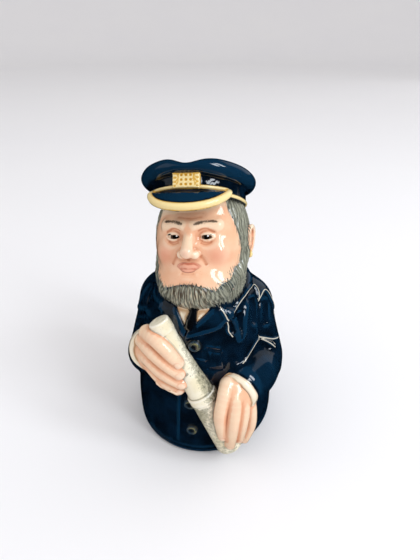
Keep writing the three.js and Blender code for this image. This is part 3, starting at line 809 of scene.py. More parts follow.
# Lines on the coat: width, height, kind, and the places they pass through, three numbers to a place.
COAT_LINES = [
    # Folds over his left shoulder, and the flap of cloth under them.
    (0.55, 0.7, "pale", [11.4, -19.4, 55,  12.9, -16.9, 57.4,  13.9, -14.6, 58.4,  14.7, -11.9, 58.7,
     15.2, -8.5, 59,  16, -5.6, 58.8,  17, -4.4, 58.1,  17.9, -4.4, 57.2,  18.7, -5.4, 56,
     19.2, -6.6, 54.4]),
    (0.55, 0.7, "pale", [19.2, -6.7, 54.2,  19.7, -4.4, 55.2,  20.5, -2.4, 55.2,  21.4, -1.9, 54.4,
     22.6, -2.1, 52.6,  24, -1.6, 49.3,  24.8, -2, 46.4]),
    (0.5, 0.55, "pale", [8.7, -21.3, 58.9,  9.8, -21.2, 56,  10.5, -20.9, 52.9,  10.7, -21.4, 51,
     11.8, -21.1, 49.2]),
    (1.1, 1, "", [9.6, -20.9, 58.4,  11.3, -20.3, 56.5,  12.5, -19.4, 53.1,  13.2, -19.5, 50.3,
     14.3, -19.7, 47,  15.4, -18.1, 48.3,  15.4, -16.5, 51.5,  15.7, -14, 54.8,  15.9, -11.1, 57.3]),
    (0.7, -0.8, "", [11.4, -20.6, 54.4,  12, -20.2, 51.8,  12.7, -20.2, 49.4]),
    (0.8, -0.8, "", [14.2, -17.2, 55.6,  14.3, -17.8, 52.4,  14.3, -18.6, 49.4]),
    (1.3, -0.9, "", [17.2, -9.5, 57,  17.6, -10.6, 52.6,  17.6, -12.5, 47.6]),
    (1.4, -0.8, "", [21.4, -4.6, 53.6,  22.2, -7, 49.2,  22.4, -8.2, 44.8]),
    (0.45, -0.5, "", [19.3, -6.6, 54.4,  19.5, -9.1, 50.8,  20, -11.2, 46.5,  20.4, -12, 42.8]),
    (0.42, 0.5, "pale", [20.4, -12, 42.7,  22.5, -10.2, 41.2,  24.7, -8, 39.4,  27, -4, 37.4]),
    (0.45, 0.36, "pale", [21.2, -11.6, 41.6,  23.6, -9.8, 39.2,  25.6, -8.4, 36.6]),
    (0.8, -0.4, "", [21.4, -12.4, 41.2,  23.2, -11.4, 38.8,  24.6, -10.6, 36.2]),
    (0.42, 0.42, "pale", [20.4, -12, 42.7,  18.9, -15.3, 41.7,  17.5, -17.8, 40.1,  16, -20.4, 37.9]),
    # Folds at the crook of his right arm.
    (0.9, 0.5, "", [-15, -17.5, 51.5,  -18.5, -11.5, 49.5,  -21.8, -7.4, 47,  -24.2, -3.4, 44.6]),
    (0.8, -0.5, "", [-15.4, -18, 49,  -18.8, -13.6, 46,  -22, -10.2, 43.2,  -24.6, -6.4, 40.6]),
    (0.9, 0.45, "", [-16.4, -17, 47,  -19.6, -14, 43.2,  -22.6, -11.6, 39.6,  -25.2, -8, 36.4]),
    (0.9, 0.45, "", [-17.8, -6, 56.8,  -20.4, -6, 53.2,  -22.2, -5.4, 48.8,  -22.8, -5.8, 45.6]),
    (0.9, -0.5, "", [-15.6, -10.5, 57.4,  -17.6, -10.6, 53.8,  -18.4, -11.5, 50.2]),
    # Edges of the lapels, of the coat front and of the pocket.
    (0.4, 0.3, "", [-2.2, -26, 48.6,  -1.7, -26.1, 49.9,  0.4, -26.1, 51.4,  3.3, -25.3, 52.4,
     6, -24.1, 52.9,  8.6, -23.1, 53.4]),
    (0.5, 0.5, "", [-14.6, -11.1, 58.8,  -14, -14.8, 56.9,  -10.6, -19.8, 57.6,  -11.6, -20, 55.2]),
    (0.35, 0.35, "lap", [-2, -26.2, 47,  -2.6, -26.6, 40,  -3.2, -27.2, 32,  -3.7, -27.4, 24,
     -4.1, -27.6, 16,  -4.4, -27.4, 9,  -4.5, -27.3, 3.4]),
    (0.35, -0.28, "", [4.2, -25.5, 46.6,  6.8, -25, 45.9,  9.4, -24, 44.9]),
    (0.35, -0.22, "", [4.4, -25.5, 46.4,  4.7, -25.6, 42.6,  5.1, -25.9, 39]),
    (0.35, -0.22, "", [9.3, -24, 44.9,  9.7, -24.4, 41.4,  10.1, -24.6, 38.2]),
    (0.35, -0.22, "", [5, -25.9, 39.2,  7.6, -25.3, 38.5,  10.1, -24.6, 38.2]),
    # Seams down the sides and the back, and easy folds in the skirts.
    (0.4, -0.3, "", [-25.2, 4, 44,  -26.3, 6, 30,  -26, 5, 16,  -25.4, 5, 4]),
    (0.4, -0.3, "", [25.6, 5, 42,  26.3, 6, 30,  26, 5, 16,  25.4, 5, 4]),
    (1.3, 0.35, "", [-7.6, 22.5, 48,  -8.2, 25.8, 34,  -8.6, 27, 18,  -8.8, 26.6, 4]),
    (1.3, 0.35, "", [7.6, 22.5, 48,  8.4, 25.8, 34,  8.8, 27, 18,  9, 26.6, 4]),
    (0.4, 0.4, "lap", [0, 25.8, 20,  0, 27, 12,  0, 26.6, 3.4]),
    (0.4, -0.3, "", [-16, 12, 55,  -8, 18, 54,  0, 20, 53.6,  8, 18, 54,  16, 12, 55]),
    (1.5, 0.3, "", [-20.4, 16, 26,  -19.4, 19, 16,  -19.2, 18.4, 5]),
    (1.5, 0.3, "", [20.4, 16, 26,  19.4, 19, 16,  19.2, 18.4, 5]),
]


def coat_marks():
    return [Mark(np.reshape(places, (-1, 3)), wide, high, kind) for wide, high, kind, places in COAT_LINES]


def head_marks():
    lines = [([(-half, -13.2, height), (0, -14.8, height + 0.2), (half, -13.2, height)], 0.6, -0.14)
             for height, half in ((22.6, 4.6), (24.0, 5.6))]
    lines += [([(0, -16.4, 11.2), (0, -16.0, 10.4), (0, -15.9, 9.8)], 0.5, -0.16),
              ([(-2.2, -15.0, 5.9), (0, -15.6, 5.7), (2.2, -15.0, 5.9)], 0.7, -0.16)]
    pairs = []
    for side in (-1, 1):
        for knots, wide, high in (
            ([(3.2, -15.4, 11.8), (4.5, -14.8, 10.2), (5.1, -14.0, 8.4)], 0.6, -0.2),
            ([(2.9, -14.2, 15.2), (4.9, -14.0, 14.5), (7.0, -12.6, 14.9)], 0.5, -0.16),
            ([(2.4, -14.6, 18.4), (4.9, -14.6, 18.9), (7.7, -12.3, 18.3)], 0.35, -0.22),
            ([(15.5, 0.4, 17.6), (15.7, 1.4, 15.6), (15.5, 0.8, 13.4)], 0.6, -0.45),
        ):
            pairs.append(([(side * x, y, z) for x, y, z in knots], wide, high))
    return [Mark(placed(HEAD, knots), wide, high) for knots, wide, high in pairs + lines]


def nails():
    """The middle of each finger's nail, the ways along and across it, and the finger's radius."""
    for _, _, joint, tip, radius in RIGHT_HAND + LEFT_HAND:
        joint, tip = np.array(joint, float), np.array(tip, float)
        along = (tip - joint) / np.linalg.norm(tip - joint)
        out = np.array([0, -1.0, 0.35])
        out -= out @ along * along
        out /= np.linalg.norm(out)
        yield tip + out * radius * 0.8 + along * radius * 0.15, along, np.cross(along, out), radius


def nail_marks():
    """A shallow groove round the nail of each finger."""
    marks = []
    for heart, along, side, radius in nails():
        knots = [heart - along * math.cos(turn) * radius * 0.62 + side * math.sin(turn) * radius * 0.5
                 for turn in np.linspace(-2.4, 2.4, 9)]
        marks.append(Mark(knots, 0.26, -0.06))
    return marks


HAIR_EDGE = ([-6, 2, 9, 13, 18, 24, 30], [40, 52, 64, 66, 61, 52, 50])  # heights, degrees from the front
BEARD_TOP, BEARD_RISE, BEARD_RISE_SPREAD = 1.0, 2.3, 0.42  # it climbs a little under the mouth
TEMPLE_RADIUS, LOCK_RADIUS, FAN_RADIUS = 13.5, 14.5, 19  # turn angles into millimetres of skin
FAN_TOP = 22  # the beard's locks fan out from this height on the head
LOCK_WAVES, HAIR_WAVES, LOCK_HEIGHT = 2.6, 5.4, 0.09


def head_angles(points):
    at = local(HEAD, points)
    return at, np.arctan2(at[:, 0], -at[:, 1])


def hair_line(points):
    """Positive behind the line where the hair starts at the temples."""
    at, angle = head_angles(points)
    return (np.abs(angle) - np.interp(at[:, 2], *HAIR_EDGE) * DEGREE) * TEMPLE_RADIUS


def strands(points):
    """Where a point lies across and along the locks of hair, in millimetres."""
    at, angle = head_angles(points)
    fan = np.arctan2(at[:, 0], FAN_TOP - at[:, 2])
    low = eased(np.clip((11 - at[:, 2]) / 9, 0, 1)) * np.clip(1.6 - np.abs(angle), 0, 1)
    across = angle * LOCK_RADIUS * (1 - low) + fan * FAN_RADIUS * low
    along = at[:, 2] * (1 - low) + np.hypot(at[:, 0], FAN_TOP - at[:, 2]) * low
    return across, along


def locks(points):
    across, along = strands(points)
    drift = 0.9 * np.sin(along * 0.42 + across * 0.35) + 0.5 * np.sin(along * 0.9 - across * 0.6)
    coarse = np.sin((across + drift) * LOCK_WAVES)
    fine = np.sin((across + 0.6 * drift) * HAIR_WAVES + 1.7 * np.sin(along * 0.5))
    return 0.1 * (1 - np.abs(coarse)) + LOCK_HEIGHT * coarse + LOCK_HEIGHT * fine


def button_relief(points):
    raised = np.zeros(len(points))
    for x, height in BUTTON_PLACES:
        face = on_coat(x, height, BUTTON_PROUD)
        gap = points - face
        near = np.flatnonzero((np.abs(gap[:, 1]) < 1.2) & (length(gap) < 3))
        flat = gap[near][:, [0, 2]]
        radius = length(flat)
        raised[near] += 0.22 * np.exp(-(((radius - 1.45) / 0.3) ** 2))  # rim
        raised[near] -= 0.3 * np.exp(-((radius / 0.95) ** 4))  # sunk middle
    return raised


def badge_grid(points):
    """Across and up the badge in cells, whether a point is on the lattice, and whether on the badge."""
    at = local(CAP, points)
    beside, above = np.abs(at[:, 0]), at[:, 2] - BADGE_HEIGHT
    on = (beside < 3.8) & (np.abs(above) < 2.2) & (at[:, 1] < -16.9)
    return at[:, 0] / BADGE_CELL[0], above / BADGE_CELL[1], on & (beside < LATTICE_HALF), on


def badge_relief(points):
    across, up, lattice, on = badge_grid(points)
    cell = np.cos(math.pi * across) ** 2 * np.cos(math.pi * up) ** 2
    beads = 0.12 * np.cos(2.2 * math.pi * up) * (np.abs(across) > 2.1)
    return np.where(lattice, 0.1 - 0.36 * cell**1.3, 0) + np.where(on, beads, 0)


def cloth_relief(points):
    """The groove above the hem, and slow unevenness of the hand-worked surface."""
    x, y, z = points.T
    hem = -0.5 * np.exp(-(((z - HEM_HEIGHT) / 0.42) ** 2))
    clear_of_foot = np.clip(z / 3, 0, 1)
    wave = np.sin(x * 0.21 + 1.3) * np.sin(y * 0.19 + 0.4) * np.sin(z * 0.23 + 2.1)
    wave += 0.6 * np.sin(x * 0.43 + z * 0.31) * np.sin(y * 0.37 - z * 0.27 + 1.1)
    return hem + 0.09 * wave * clear_of_foot


class Relief:
    """All the fine modelling, added to the field as height above the skin."""

    def __init__(self, points, marks):
        self.marks = [(mark, mark.near(points)) for mark in marks]
        margins = paint_margins(points)
        self.hair = np.clip(0.5 + margins["hair"] / 0.8, 0, 1)
        self.coat = np.clip(0.5 + margins["coat"] / 0.6, 0, 1) * np.clip(-margins["inside"], 0, 1)
        self.gold = margins["gold"] > -0.3

    def __call__(self, points):
        raised = button_relief(points) + self.coat * cloth_relief(points) + self.hair * locks(points)
        raised += np.where(self.gold, badge_relief(points), 0)
        for mark, index in self.marks:
            if len(index):
                raised[index] += mark.raised(points[index])
        return raised


# ---- paint groups

GROUPS = ["coat", "skin", "hair", "white", "scope", "gold", "tie", "eye", "lips"]


def paint_margins(points):
    """For each paint group, how much nearer the point is to it than to any other."""
    gaps = {name: np.full(len(points), FAR) for name in [*GROUPS, "cap", "handle", "skull", "face", "hand"]}
    for solid in SOLIDS:
        if solid.cuts:
            continue
        index = solid.near(points, MARGIN_KEPT)
        if len(index):
            gap = gaps[solid.group]
            gap[index] = np.minimum(gap[index], solid.distance(points[index]))
    at, angle = head_angles(points)
    beard_line = BEARD_TOP + BEARD_RISE * np.exp(-(angle / BEARD_RISE_SPREAD) ** 2)
    hairy = np.maximum(hair_line(points), beard_line - at[:, 2])
    bare = np.maximum(np.minimum(gaps["skull"], gaps["face"]), local(CAP, points)[:, 2] + 0.3)
    for solid in SOLIDS:
        if solid.cuts:
            bare = np.maximum(bare, -solid.distance(points))
    gaps["coat"] = np.minimum(np.minimum(gaps["coat"], gaps["cap"]), gaps["handle"])
    gaps["hair"] = np.minimum(gaps["hair"], np.maximum(bare, -hairy))
    gaps["skin"] = np.minimum(np.minimum(gaps["skin"], gaps["hand"]), np.maximum(bare, hairy))
    margins = {"inside": LINING_DEPTH - hollow_distance(points), "foot": BARE_FOOT - points[:, 2]}
    for name in GROUPS:
        margins[name] = np.min([gaps[other] for other in GROUPS if other != name], axis=0) - gaps[name]
    return {name: np.clip(margin, -MARGIN_KEPT, MARGIN_KEPT) for name, margin in margins.items()}


# ---- the mesh

axes, value = grid_field(GRID_LOW, GRID_HIGH)
vertices, quads = surface_net(axes, value)
field = Field(vertices)
vertices = settle(field, vertices)
MARKS = laid([*coat_marks(), *head_marks(), *nail_marks()])
relief = Relief(vertices, MARKS)
_, out = gradient(field, vertices, 0.1)
vertices = vertices + unit(out) * relief(vertices)[:, None]


def mesh_from(name, points, faces):
    mesh = bpy.data.meshes.new(name)
    mesh.from_pydata((points / 1000).tolist(), [], faces.tolist())
    mesh.update()
    return mesh


def thinned(mesh, most):
    """The mesh with its flattest edges collapsed until it has at most `most` triangles."""
    piece = bpy.data.objects.new("thinned", mesh)
    bpy.context.collection.objects.link(piece)
    count = sum(len(face.vertices) - 2 for face in mesh.polygons)
    modifier = piece.modifiers.new("thin", "DECIMATE")
    modifier.ratio = min(1, most / count)
    graph = bpy.context.evaluated_depsgraph_get()
    made = bpy.data.meshes.new_from_object(piece.evaluated_get(graph))
    bpy.data.objects.remove(piece)
    return made


def held_inside(at):
    """The points drawn in softly where they come within SLACK of the sides of the solid's box."""
    low, high = (np.array(corner) * 1000 for corner in (cad_low, cad_high))
    over = np.maximum(at - (high - SLACK), 0)
    under = np.maximum(low + SLACK - at, 0) * [1, 1, 0]
    at = np.where(over > 0, high - SLACK + SLACK * np.tanh(over / SLACK), at)
    at = np.where(under > 0, low + SLACK - SLACK * np.tanh(under / SLACK), at)
    return np.maximum(at, [-np.inf, -np.inf, low[2]])


mesh = thinned(mesh_from("net", vertices, quads), MOST_TRIANGLES)
points = np.empty(len(mesh.vertices) * 3)
mesh.vertices.foreach_get("co", points)
points = held_inside(points.reshape(-1, 3) * 1000)
mesh.vertices.foreach_set("co", (points / 1000).ravel())
mesh.update()

# ---- paint worked out at each vertex


def full_gradient(step):
    """Slope of the field with its relief, and how sharply the skin turns, at each vertex."""
    centre = detailed(points)
    ahead = [detailed(points + step * way) for way in np.eye(3)]
    behind = [detailed(points - step * way) for way in np.eye(3)]
    slope = np.stack([(a - b) / (2 * step) for a, b in zip(ahead, behind)], axis=1)
    bend = (sum(ahead) + sum(behind) - 6 * centre) / step
    return slope, bend


field = Field(points)
relief = Relief(points, MARKS)


def detailed(at):
    return field(at) - relief(at)


slope, sharp = full_gradient(CRISP_STEP)
_, broad = full_gradient(BROAD_STEP)
normals = unit(slope)
margins = paint_margins(points)
across, along = strands(points)


def line_margin(knots, where, half):
    """Positive within a painted stroke, which may swell and taper along its length."""
    line = smooth_curve([[*knot, 0] for knot in knots], 6)
    line[:, :3] = placed(where, line[:, :3])
    gap, spot = distance_to_line(points, line)
    return np.clip(half(spot) - gap, -2, 2)


def reach_from(where, centre, radii):
    """0 at the centre of an ellipsoid and 1 on its skin."""
    return length((local(where, points) - np.array(centre)) / np.array(radii))


def spot_margin(where, centre, radii):
    return np.clip((1 - reach_from(where, centre, radii)) * min(radii), -2, 2)


def wash(where, centre, radii):
    """A soft spot of colour, from 1 in the middle to 0."""
    return np.exp(-(reach_from(where, centre, radii) ** 2) * 1.6)


def strongest(parts):
    return np.max(np.array(parts), axis=0)


LASH = ((2.5, -13.2, 16.9), (3.6, -14.2, 17.5), (5, -14.6, 17.72), (6.5, -13.9, 17.5), (7.8, -12.4, 16.9))
BROW = ((1.9, -15.5, 20.6), (4.2, -14.9, 21.5), (6.6, -13.7, 21.6), (9.0, -11.4, 20.4))
IRIS_SPREAD, IRIS_RADIUS, PUPIL_RADIUS, GLINT_RADIUS = 4.8, 1.5, 0.85, 0.28


def eye_paint():
    def spot(aside, y, z, radius, deep):
        return strongest([spot_margin(HEAD, [side * IRIS_SPREAD + aside, y, z], [radius, deep, radius])
                          for side in (-1, 1)])

    def stroke(knots, least, swell, lean):
        """A brush stroke over each eye, `least` wide at its ends and thicker by `swell` between."""

        def half(share):
            return least + swell * np.sin(math.pi * np.clip(share, 0, 1) ** lean)

        return strongest([line_margin([(side * x, y, z) for x, y, z in knots], HEAD, half)
                          for side in (-1, 1)])

    return {
        "iris": spot(0.3, -14.0, 16.85, IRIS_RADIUS, 3),
        "pupil": spot(0.3, -14.0, 16.85, PUPIL_RADIUS, 3),
        "glint": spot(0.75, -14.2, 17.2, GLINT_RADIUS, 2),
        "lash": stroke(LASH, 0.08, 0.16, 1),
        "brow": stroke(BROW, 0.25, 0.5, 0.7),
    }


def pale_edges():
    """Distance to the nearest sharp fold, where the glaze runs thin, with a sign for its side."""
    nearest, signed = np.full(len(points), 3.0), np.full(len(points), 3.0)
    for mark in MARKS:
        if mark.pale:
            index = mark.near(points)
            gap, sided, where = mark.across(points[index])
            gap = gap + 2.5 * np.clip(0.1 - np.minimum(where, 1 - where), 0, 1)
            closer = gap < nearest[index]
            nearest[index] = np.where(closer, gap, nearest[index])
            signed[index] = np.where(closer, sided, signed[index])
    return nearest, signed


def blush():
    at = [wash(HEAD, [side * 7.5, -12.5, 11.6], [4.2, 5, 3.6]) for side in (-1, 1)]
    at += [0.8 * wash(HEAD, [0, -18.5, 12.4], [1.9, 2.5, 1.7]), 0.5 * wash(HEAD, [0, -14, 4], [3.6, 4, 2])]
    at += [0.5 * wash(HEAD, [side * 15.4, 1, 15], [2, 3, 4]) for side in (-1, 1)]
    for _, knuckle, joint, tip, radius in RIGHT_HAND + LEFT_HAND:
        for place, strength in ((knuckle, 0.6), (joint, 0.45), (tip, 0.65)):
            at.append(strength * wash(BODY, place, [radius * 1.1] * 3))
    return strongest(at)


def scope_shade():
    """Grime of the telescope: along the upper edge of its narrow tube, and over the wide one."""
    axis = SCOPE_END - SCOPE_EYE
    axis = axis / np.linalg.norm(axis)
    up = np.cross([0, -1, 0], axis)
    gap = points - SCOPE_JOINT
    side, past = gap @ (up / np.linalg.norm(up)), gap @ axis
    edge = np.clip((side - 1.3) / 2.2, 0, 1) + 0.25 * np.clip((-side - 2.6) / 1.5, 0, 1)
    wide = 0.42 + 0.4 * np.exp(-((past / 6) ** 2)) * np.clip((2.4 - side) / 3, 0, 1)
    return np.where(past > 0.2, wide, edge)


def button_rim_highlight():
    """The rim of each button, painted as a highlight that is strongest towards the window."""
    ring = np.zeros(len(points))
    for x, height in BUTTON_PLACES:
        gap = points - on_coat(x, height, BUTTON_PROUD)
        radius = np.hypot(gap[:, 0], gap[:, 2])
        lit = np.clip(0.45 + (gap[:, 0] + gap[:, 2]) / 3.4, 0.12, 1)
        ring = np.maximum(ring, lit * np.exp(-(((radius - 1.35) / 0.42) ** 2)) * (np.abs(gap[:, 1]) < 1.2))
    return ring


def nail_paint():
    return strongest([np.exp(-((length(points - heart) / (radius * 0.55)) ** 4))
                      for heart, _, _, radius in nails()])


badge_across, badge_up, on_lattice, _ = badge_grid(points)
nearest, signed = pale_edges()
attributes = {f"m_{name}": margins[name] for name in [*GROUPS, "inside", "foot"] if name != "coat"}
attributes |= {f"p_{name}": part for name, part in eye_paint().items()}
attributes |= {
    "sharp": np.clip(sharp, -1, 1),
    "broad": np.clip(broad, -1, 1),
    "across": across,
    "along": along,
    "fold_gap": nearest,
    "fold_side": signed,
    "blush": blush(),
    "shade": scope_shade(),
    "nail": nail_paint(),
    "badge_across": badge_across,
    "badge_up": badge_up,
    "badge_on": on_lattice.astype(float),
    "button": button_rim_highlight(),
}
for name, part in attributes.items():
    layer = mesh.attributes.new(name, "FLOAT", "POINT")
    layer.data.foreach_set("value", np.asarray(part, np.float32))

# ---- glaze


def colour(hexed):
    """Linear colour of a screen colour."""
    parts = [int(hexed[i : i + 2], 16) / 255 for i in (0, 2, 4)]
    return [*(c / 12.92 if c <= 0.04045 else ((c + 0.055) / 1.055) ** 2.4 for c in parts), 1]


class Nodes:
    """Short ways to make and join the nodes of a material."""

    def __init__(self, tree):
        self.tree = tree

    def node(self, kind, **settings):
        made = self.tree.nodes.new(kind)
        for name, setting in settings.items():
            setattr(made, name, setting)
        return made

    def feed(self, socket, source):
        if isinstance(source, bpy.types.NodeSocket):
            self.tree.links.new(source, socket)
        else:
            socket.default_value = source

    def math(self, operation, a, b=0.0):
        made = self.node("ShaderNodeMath", operation=operation)
        self.feed(made.inputs[0], a)
        self.feed(made.inputs[1], b)
        return made.outputs[0]

    def value(self, name):
        return self.node("ShaderNodeAttribute", attribute_name=name).outputs["Fac"]

    def ramp(self, source, low, high):
        """0 up to low, 1 from high, and smooth between."""
        made = self.node("ShaderNodeMapRange", interpolation_type="SMOOTHSTEP")
        self.feed(made.inputs["Value"], source)
        self.feed(made.inputs["From Min"], low)
        self.feed(made.inputs["From Max"], high)
        return made.outputs["Result"]

    def mix(self, share, under, over):
        made = self.node("ShaderNodeMix", data_type="RGBA")
        self.feed(made.inputs[0], share)
        self.feed(made.inputs[6], under)
        self.feed(made.inputs[7], over)
        return made.outputs[2]

    def between(self, low, high, share):
        """A blend of two screen colours."""
        return self.mix(share, colour(low), colour(high))

    def product(self, first, *others):
        for other in others:
            first = self.math("MULTIPLY", first, other)
        return first

    def over(self, under, *coats):
        """Coats of paint, one over another: each is a screen colour and the shares that thin it."""
        for hexed, *shares in coats:
            under = self.mix(self.product(*shares), under, colour(hexed))
        return under

    def noise(self, scale, detail, vector=None):
        made = self.node("ShaderNodeTexNoise")
        if vector is None:
            vector = self.node("ShaderNodeTexCoord").outputs["Object"]
        self.feed(made.inputs["Vector"], vector)
        for name, setting in (("Scale", scale), ("Detail", detail), ("Roughness", 0.55)):
            made.inputs[name].default_value = setting
        return made.outputs[0]

    def streaks(self, across, along):
        """Brush marks that follow the locks of hair."""
        vector = self.node("ShaderNodeCombineXYZ")
        self.feed(vector.inputs[0], self.product(self.value("across"), across))
        self.feed(vector.inputs[1], self.product(self.value("along"), along))
        return self.noise(1.0, 2, vector.outputs[0])


def glaze():
    material = bpy.data.materials.new("glazed_earthenware")
    material.use_nodes = True
    n = Nodes(material.node_tree)
    shader = material.node_tree.nodes["Principled BSDF"]

    grain, cloud, fleck = n.noise(900, 4), n.noise(160, 3), n.noise(2600, 2)
    brush, fine_brush = n.streaks(1.5, 0.16), n.streaks(3.6, 0.3)
    sharp, broad = n.value("sharp"), n.value("broad")

    def swing(noise, middle, size):
        return n.product(n.math("SUBTRACT", noise, middle), size)

    wander = swing(cloud, 0.5, 0.5)

    def inked(name, spread=0.06, drift=wander):
        return n.ramp(n.math("ADD", n.value(name), drift), -spread, spread)

    # Cobalt glaze: near black where it lies thick, bluer where it thins, pale on the sharp folds, with
    # painted highlights.
    base = n.over(
        n.between("040d17", "071c2e", n.ramp(cloud, 0.35, 0.7)),
        # bluer on what stands out, partly where the glaze thins and partly as a painted highlight
        ("0b2a40", n.ramp(broad, 0.04, 0.3)),
        # painted highlight on the sharp ridges
        ("3a4a58", n.ramp(sharp, 0.25, 0.8), n.ramp(grain, 0.35, 0.65), 0.5),
        ("d8d0bd", n.product(n.ramp(n.math("ABSOLUTE", n.value("fold_side")), 0.24, 0.1),
                             n.ramp(n.value("fold_gap"), 1.2, 0.95)), n.ramp(cloud, 0.15, 0.32), 0.85),
        # painted highlight on the button rims
        ("a59c5c", n.value("button"), n.ramp(fleck, 0.3, 0.6), 0.75))

    # Flesh: peach with painted highlights in cream on what stands out and painted shade in rust in what
    # lies deep.
    skin = n.over(
        n.between("f0b995", "f5c8a6", n.ramp(cloud, 0.3, 0.7)),
        # painted highlight in cream on the broad swells
        ("fbe3c4", n.ramp(broad, 0.1, 0.5), 0.6),
        ("de8468", n.value("blush"), 0.75),
        # painted highlight on the sharp ridges
        ("fdebd2", n.ramp(sharp, 0.12, 0.5), 0.6),
        # painted shade in rust in the hollows and creases
        ("dc8f68", n.ramp(broad, -0.12, -0.7), 0.4),
        ("b8643c", n.ramp(sharp, -0.15, -0.75), 0.55),
        ("fbe6d2", n.value("nail"), 0.25),
        ("b4613c", n.ramp(fleck, 0.62, 0.75), 0.2))
    base = n.mix(inked("m_skin"), base, skin)
    # lips: painted shade in the crease of the mouth and painted highlights where they swell
    base = n.mix(inked("m_lips", 0.25), base, n.between("c8765a", "ecae93", n.ramp(sharp, -0.4, 0.25)))

    # Hair and beard: grey-olive, brushed darker and lighter along the locks, with painted shade in the
    # grooves and painted highlights on the ridges, brown at the chin.
    chin = n.product(n.ramp(n.math("ABSOLUTE", n.value("across")), 7.0, 3.0),
                     n.ramp(n.value("along"), 30.0, 22.0))
    hair = n.over(
        n.between("6f7163", "999a8a", n.ramp(brush, 0.35, 0.65)),
        # painted shade in the grooves and painted highlights on the ridges of the locks
        ("44453b", n.ramp(sharp, -0.08, -0.5), 0.6),
        ("b6b5a2", n.ramp(sharp, 0.15, 0.7), 0.4),
        ("46403a", n.ramp(fine_brush, 0.54, 0.66), 0.6),
        ("b9b49c", n.ramp(fine_brush, 0.46, 0.36), 0.35),
        ("4b372b", chin, n.ramp(fine_brush, 0.48, 0.58), 0.8),
        ("cdb79a", chin, n.ramp(fine_brush, 0.46, 0.36), 0.6))
    ragged = n.math("ADD", n.value("m_hair"), swing(fine_brush, 0.48, 5.0))
    base = n.mix(n.ramp(ragged, -0.25, 0.25), base, hair)

    # Linen, telescope, tie and gilding.
    # linen with painted shade in its creases
    linen = n.over(n.between("c49a72", "f6ead2", n.ramp(sharp, -0.25, 0.1)),
                   ("e8d3ae", n.ramp(cloud, 0.4, 0.75), 0.4))
    base = n.mix(inked("m_white"), base, linen)
    speckle = n.math("ADD", swing(grain, 0.5, 1.5), swing(fleck, 0.5, 1.1))
    patch = n.math("ADD", n.value("shade"), speckle)
    tube = n.over(
        n.between("faf2dc", "efe3c2", n.ramp(cloud, 0.35, 0.7)),
        ("8f8d76", n.ramp(patch, 0.2, 0.7), 0.7),
        ("4a4a3c", n.ramp(patch, 0.75, 1.15), 0.75),
        # painted shade in the telescope's creases and painted highlights on its edges
        ("6d6a55", n.ramp(sharp, -0.08, -0.5), 0.6),
        ("fdf8ea", n.ramp(sharp, 0.1, 0.5), 0.6))
    base = n.over(n.mix(inked("m_scope"), base, tube), ("07090d", inked("m_tie")))
    # gilding with painted shade in its creases and in the badge's dimples, and painted highlights on its
    # edges
    dimple = [n.ramp(n.math("PINGPONG", n.value(name), 0.5), 0.3, 0.18)
              for name in ("badge_across", "badge_up")]
    gilt = n.over(n.between("dcab4c", "f7dfa2", n.ramp(sharp, -0.2, 0.35)),
                  ("c58c1e", n.product(*dimple, n.value("badge_on")), 0.8))
    base = n.mix(inked("m_gold"), base, gilt)

    # Eyes: the whites with painted shade in the creases under the lids.
    base = n.mix(inked("m_eye", 0.05, 0.0), base, n.between("d9b79a", "f7efe0", n.ramp(sharp, -0.3, 0.2)))
    on_eye = n.ramp(n.value("m_eye"), -0.05, 0.1)
    brow = n.math("ADD", n.value("p_brow"), swing(fleck, 0.5, 0.7))
    base = n.over(
        base,
        ("4b3526", n.ramp(n.value("p_iris"), -0.06, 0.06), on_eye),
        ("080705", n.ramp(n.value("p_pupil"), -0.05, 0.05), on_eye),
        ("1b130f", inked("p_lash")),
        ("ffffff", n.ramp(n.value("p_glint"), -0.06, 0.06), on_eye),
        ("38302a", n.ramp(brow, -0.15, 0.2), 0.9))

    # Clear cream glaze inside, and the bare foot.
    base = n.mix(inked("m_inside", 0.1), base, n.between("f1ead8", "e6dcc4", n.ramp(cloud, 0.3, 0.75)))
    bare = n.ramp(n.value("m_foot"), -0.05, 0.05)
    base = n.mix(bare, base, n.between("d9c7a3", "ead9b8", grain))
    n.feed(shader.inputs["Base Color"], base)

    rough = n.math("ADD", 0.07, n.product(n.ramp(grain, 0.45, 0.8), 0.07))
    n.feed(shader.inputs["Roughness"], n.math("ADD", rough, n.product(bare, 0.6)))
    bump = n.node("ShaderNodeBump")
    for node, name, setting in ((shader, "IOR", 1.52), (shader, "Coat Weight", 0.25),
                                (shader, "Coat Roughness", 0.03), (bump, "Strength", 0.35),
                                (bump, "Distance", 0.00012)):
        node.inputs[name].default_value = setting
    swell = n.math("ADD", n.product(cloud, 1.0), n.product(grain, 0.25))
    hairy = n.product(n.ramp(n.value("m_hair"), 0, 0.6), fine_brush)
    n.feed(bump.inputs["Height"], n.math("ADD", swell, n.product(hairy, 0.9)))
    n.feed(shader.inputs["Normal"], bump.outputs[0])
    return material


mesh.materials.append(glaze())
mesh.polygons.foreach_set("use_smooth", np.ones(len(mesh.polygons), bool))
mesh.normals_split_custom_set_from_vertices(normals.tolist())
jug = bpy.data.objects.new("glazed_jug", mesh)
bpy.context.collection.objects.link(jug)
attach(jug, "root")
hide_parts("toby_jug")

# ---- studio


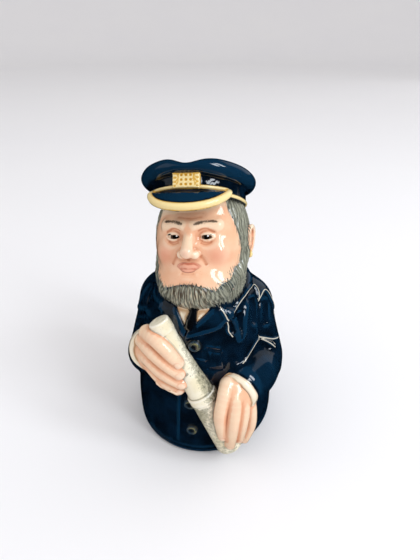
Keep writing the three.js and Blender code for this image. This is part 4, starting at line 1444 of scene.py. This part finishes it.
def paper():
    """A pale round floor that sweeps up at its rim, so that no view shows an edge."""
    made = bpy.data.meshes.new("paper")
    count, rings, flat, sweep = 96, 13, 2.5, 2.0
    spots, faces = [], [list(range(count))]
    for ring in range(rings):
        rise = 0.5 * math.pi * ring / (rings - 1)
        reach, height = flat + sweep * math.sin(rise), sweep * (1 - math.cos(rise))
        turns = [2 * math.pi * k / count for k in range(count)]
        spots += [(reach * math.cos(turn), reach * math.sin(turn), height) for turn in turns]
    for start in range(0, count * (rings - 1), count):
        faces += [[start + k, start + k + count, start + (k + 1) % count + count, start + (k + 1) % count]
                  for k in range(count)]
    made.from_pydata(spots, [], faces)
    made.shade_smooth()
    material = bpy.data.materials.new("paper")
    material.use_nodes = True
    n = Nodes(material.node_tree)
    shader = material.node_tree.nodes["Principled BSDF"]
    n.feed(shader.inputs["Base Color"], n.between("efedef", "f3f1f1", n.noise(3, 2)))
    shader.inputs["Roughness"].default_value = 0.85
    made.materials.append(material)
    piece = bpy.data.objects.new("paper", made)
    piece.visible_glossy = False
    bpy.context.collection.objects.link(piece)
    return piece


def soft_light(name, place, aim_height, size, power, tint):
    lamp = bpy.data.lights.new(name, "AREA")
    lamp.shape, lamp.size, lamp.size_y = "RECTANGLE", *size
    lamp.energy, lamp.color = power, tint
    piece = bpy.data.objects.new(name, lamp)
    piece.location = place
    piece.rotation_euler = (Vector((0, 0, aim_height)) - Vector(place)).to_track_quat("-Z", "Y").to_euler()
    bpy.context.collection.objects.link(piece)


def camera():
    """A wide lens close to the jug, looking down on it from a little to its left."""
    lens = bpy.data.cameras.new("camera")
    lens.lens, lens.sensor_width, lens.clip_start = 27.06, 36, 0.01
    piece = bpy.data.objects.new("camera", lens)
    heading, tilt = 9 * DEGREE, 30 * DEGREE
    level = Vector((-math.sin(heading), math.cos(heading), 0)) * math.cos(tilt)
    piece.location = (0.02166, -0.1262, 0.130)
    piece.rotation_euler = (level - Vector((0, 0, math.sin(tilt)))).to_track_quat("-Z", "Y").to_euler()
    bpy.context.collection.objects.link(piece)
    bpy.context.scene.camera = piece


WINDOW, WALL = (0.88, 0.94, 1.0), (0.94, 0.97, 1.0)  # tints
LIGHTS = [  # name, place, height aimed at, size, power and tint
    ("window_near", (0.62, -0.42, 0.60), 0.06, (0.17, 0.46), 2.4, WINDOW),
    ("window_far", (0.68, -0.16, 0.64), 0.06, (0.17, 0.46), 2.4, WINDOW),
    ("wall_left", (-1.1, -0.5, 0.6), 0.05, (1.0, 1.4), 1.5, WALL),
    ("wall_back", (0.9, 1.1, 0.6), 0.05, (1.0, 1.2), 1.5, WALL),
    ("sky", (0.25, 0.35, 1.3), 0.05, (1.5, 1.5), 1.2, (1.0, 0.99, 0.98)),
]
paper()
for light in LIGHTS:
    soft_light(*light)
bpy.data.objects["sky"].visible_glossy = False
world = bpy.data.worlds.new("world")
world.use_nodes = True
sky_colour, sky_strength = world.node_tree.nodes["Background"].inputs[:2]
sky_colour.default_value, sky_strength.default_value = (0.99, 0.99, 1.0, 1), 0.82
world.cycles_visibility.glossy = False
bpy.context.scene.view_settings.view_transform = "Standard"
bpy.context.scene.world = world
camera()
